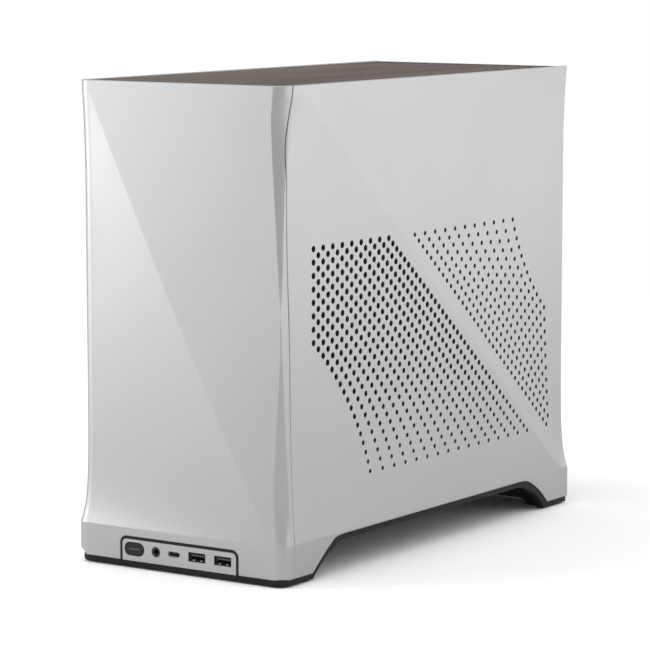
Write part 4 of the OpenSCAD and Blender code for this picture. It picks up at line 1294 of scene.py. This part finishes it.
class COMPUTER_OT_stage(bpy.types.Operator):
    """Sets up the floor, the soft light and the camera"""

    bl_idname = "computer.stage"
    bl_label = "Stage"

    def execute(self, context):
        stage = context.scene.computer_stage
        mesh = bpy.data.meshes.new("floor")
        corners = [(x, y, 0.0) for x, y in arc(0.0, 0.0, FLOOR_RADIUS, 0, 357, 119)]
        mesh.from_pydata(corners, [], [tuple(range(len(corners)))])
        floor = show("floor", mesh)
        material, tree, shader = shader_start("floor")
        shader.inputs["Base Color"].default_value = (*context.scene.computer_colours.floor, 1.0)
        shader.inputs["Roughness"].default_value = 0.9
        shader.inputs["Specular IOR Level"].default_value = 0.1
        pale = tree.nodes.new("ShaderNodeBsdfDiffuse")
        pale.inputs["Color"].default_value = (stage.floor_lift,) * 3 + (1.0,)
        seen_as(tree, shader, pale, "Material Output")
        mesh.materials.append(material)
        # Each light: azimuth from the front, height, distance, width, depth and power.
        lights = {
            "key_light": (-54.0, 0.8, 1.7, 1.2, 1.9, stage.key_power),
            "back_light": (132.0, 0.8, 1.7, 1.9, 1.9, stage.back_power),
            "top_light": (0.0, 2.4, 0.1, 2.4, 2.4, stage.top_power),
        }
        for name, (azimuth, height, away, wide, deep, power) in lights.items():
            lamp = bpy.data.lights.new(name, "AREA")
            lamp.shape = "RECTANGLE"
            lamp.size = wide
            lamp.size_y = deep
            lamp.energy = power
            turn = math.radians(azimuth)
            spot = (away * math.sin(turn), -away * math.cos(turn), height)
            show_aimed(name, lamp, spot, LIGHT_AIM)
        world = bpy.data.worlds.new("surroundings")
        world.use_nodes = True
        tree = world.node_tree
        back = tree.nodes["Background"]
        back.inputs["Color"].default_value = (1.0, 1.0, 1.0, 1.0)
        back.inputs["Strength"].default_value = stage.ambient
        white = tree.nodes.new("ShaderNodeBackground")
        white.inputs["Color"].default_value = (1.0, 1.0, 1.0, 1.0)
        seen_as(tree, back, white, "World Output")
        context.scene.world = world
        context.scene.view_settings.view_transform = "Standard"
        lens = bpy.data.cameras.new("camera")
        lens.lens = stage.focal_length
        lens.sensor_width = SENSOR_WIDTH
        context.scene.camera = show_aimed("camera", lens, CAMERA_PLACE, CAMERA_AIM)
        return {"FINISHED"}


class COMPUTER_PT_panel(bpy.types.Panel):
    """Lists the operators and the settings"""

    bl_idname = "COMPUTER_PT_panel"
    bl_label = "Compact computer"
    bl_space_type = "VIEW_3D"
    bl_region_type = "UI"
    bl_category = "Computer"

    def draw(self, context):
        layout = self.layout
        for group in (
            context.scene.computer_sizes,
            context.scene.computer_colours,
            context.scene.computer_stage,
        ):
            box = layout.box()
            for key in group.__annotations__:
                box.prop(group, key)
        for operator in OPERATORS:
            layout.operator(operator.bl_idname)


GROUPS = (ComputerSizes, ComputerColours, ComputerStage)
OPERATORS = (
    COMPUTER_OT_finishes,
    COMPUTER_OT_front_shell,
    COMPUTER_OT_side_panels,
    COMPUTER_OT_wood_top,
    COMPUTER_OT_base,
    COMPUTER_OT_sockets,
    COMPUTER_OT_stage,
)


def register():
    """Registers the classes and the settings."""
    for cls in (*GROUPS, *OPERATORS, COMPUTER_PT_panel):
        bpy.utils.register_class(cls)
    bpy.types.Scene.computer_sizes = PointerProperty(type=ComputerSizes)
    bpy.types.Scene.computer_colours = PointerProperty(type=ComputerColours)
    bpy.types.Scene.computer_stage = PointerProperty(type=ComputerStage)


def unregister():
    """Takes the classes and the settings away again."""
    del bpy.types.Scene.computer_stage
    del bpy.types.Scene.computer_colours
    del bpy.types.Scene.computer_sizes
    for cls in reversed((*GROUPS, *OPERATORS, COMPUTER_PT_panel)):
        bpy.utils.unregister_class(cls)


def main():
    """Builds everything in order."""
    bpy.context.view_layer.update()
    register()
    for operator in OPERATORS:
        family, name = operator.bl_idname.split(".")
        getattr(getattr(bpy.ops, family), name)()


if __name__ == "__main__":
    main()
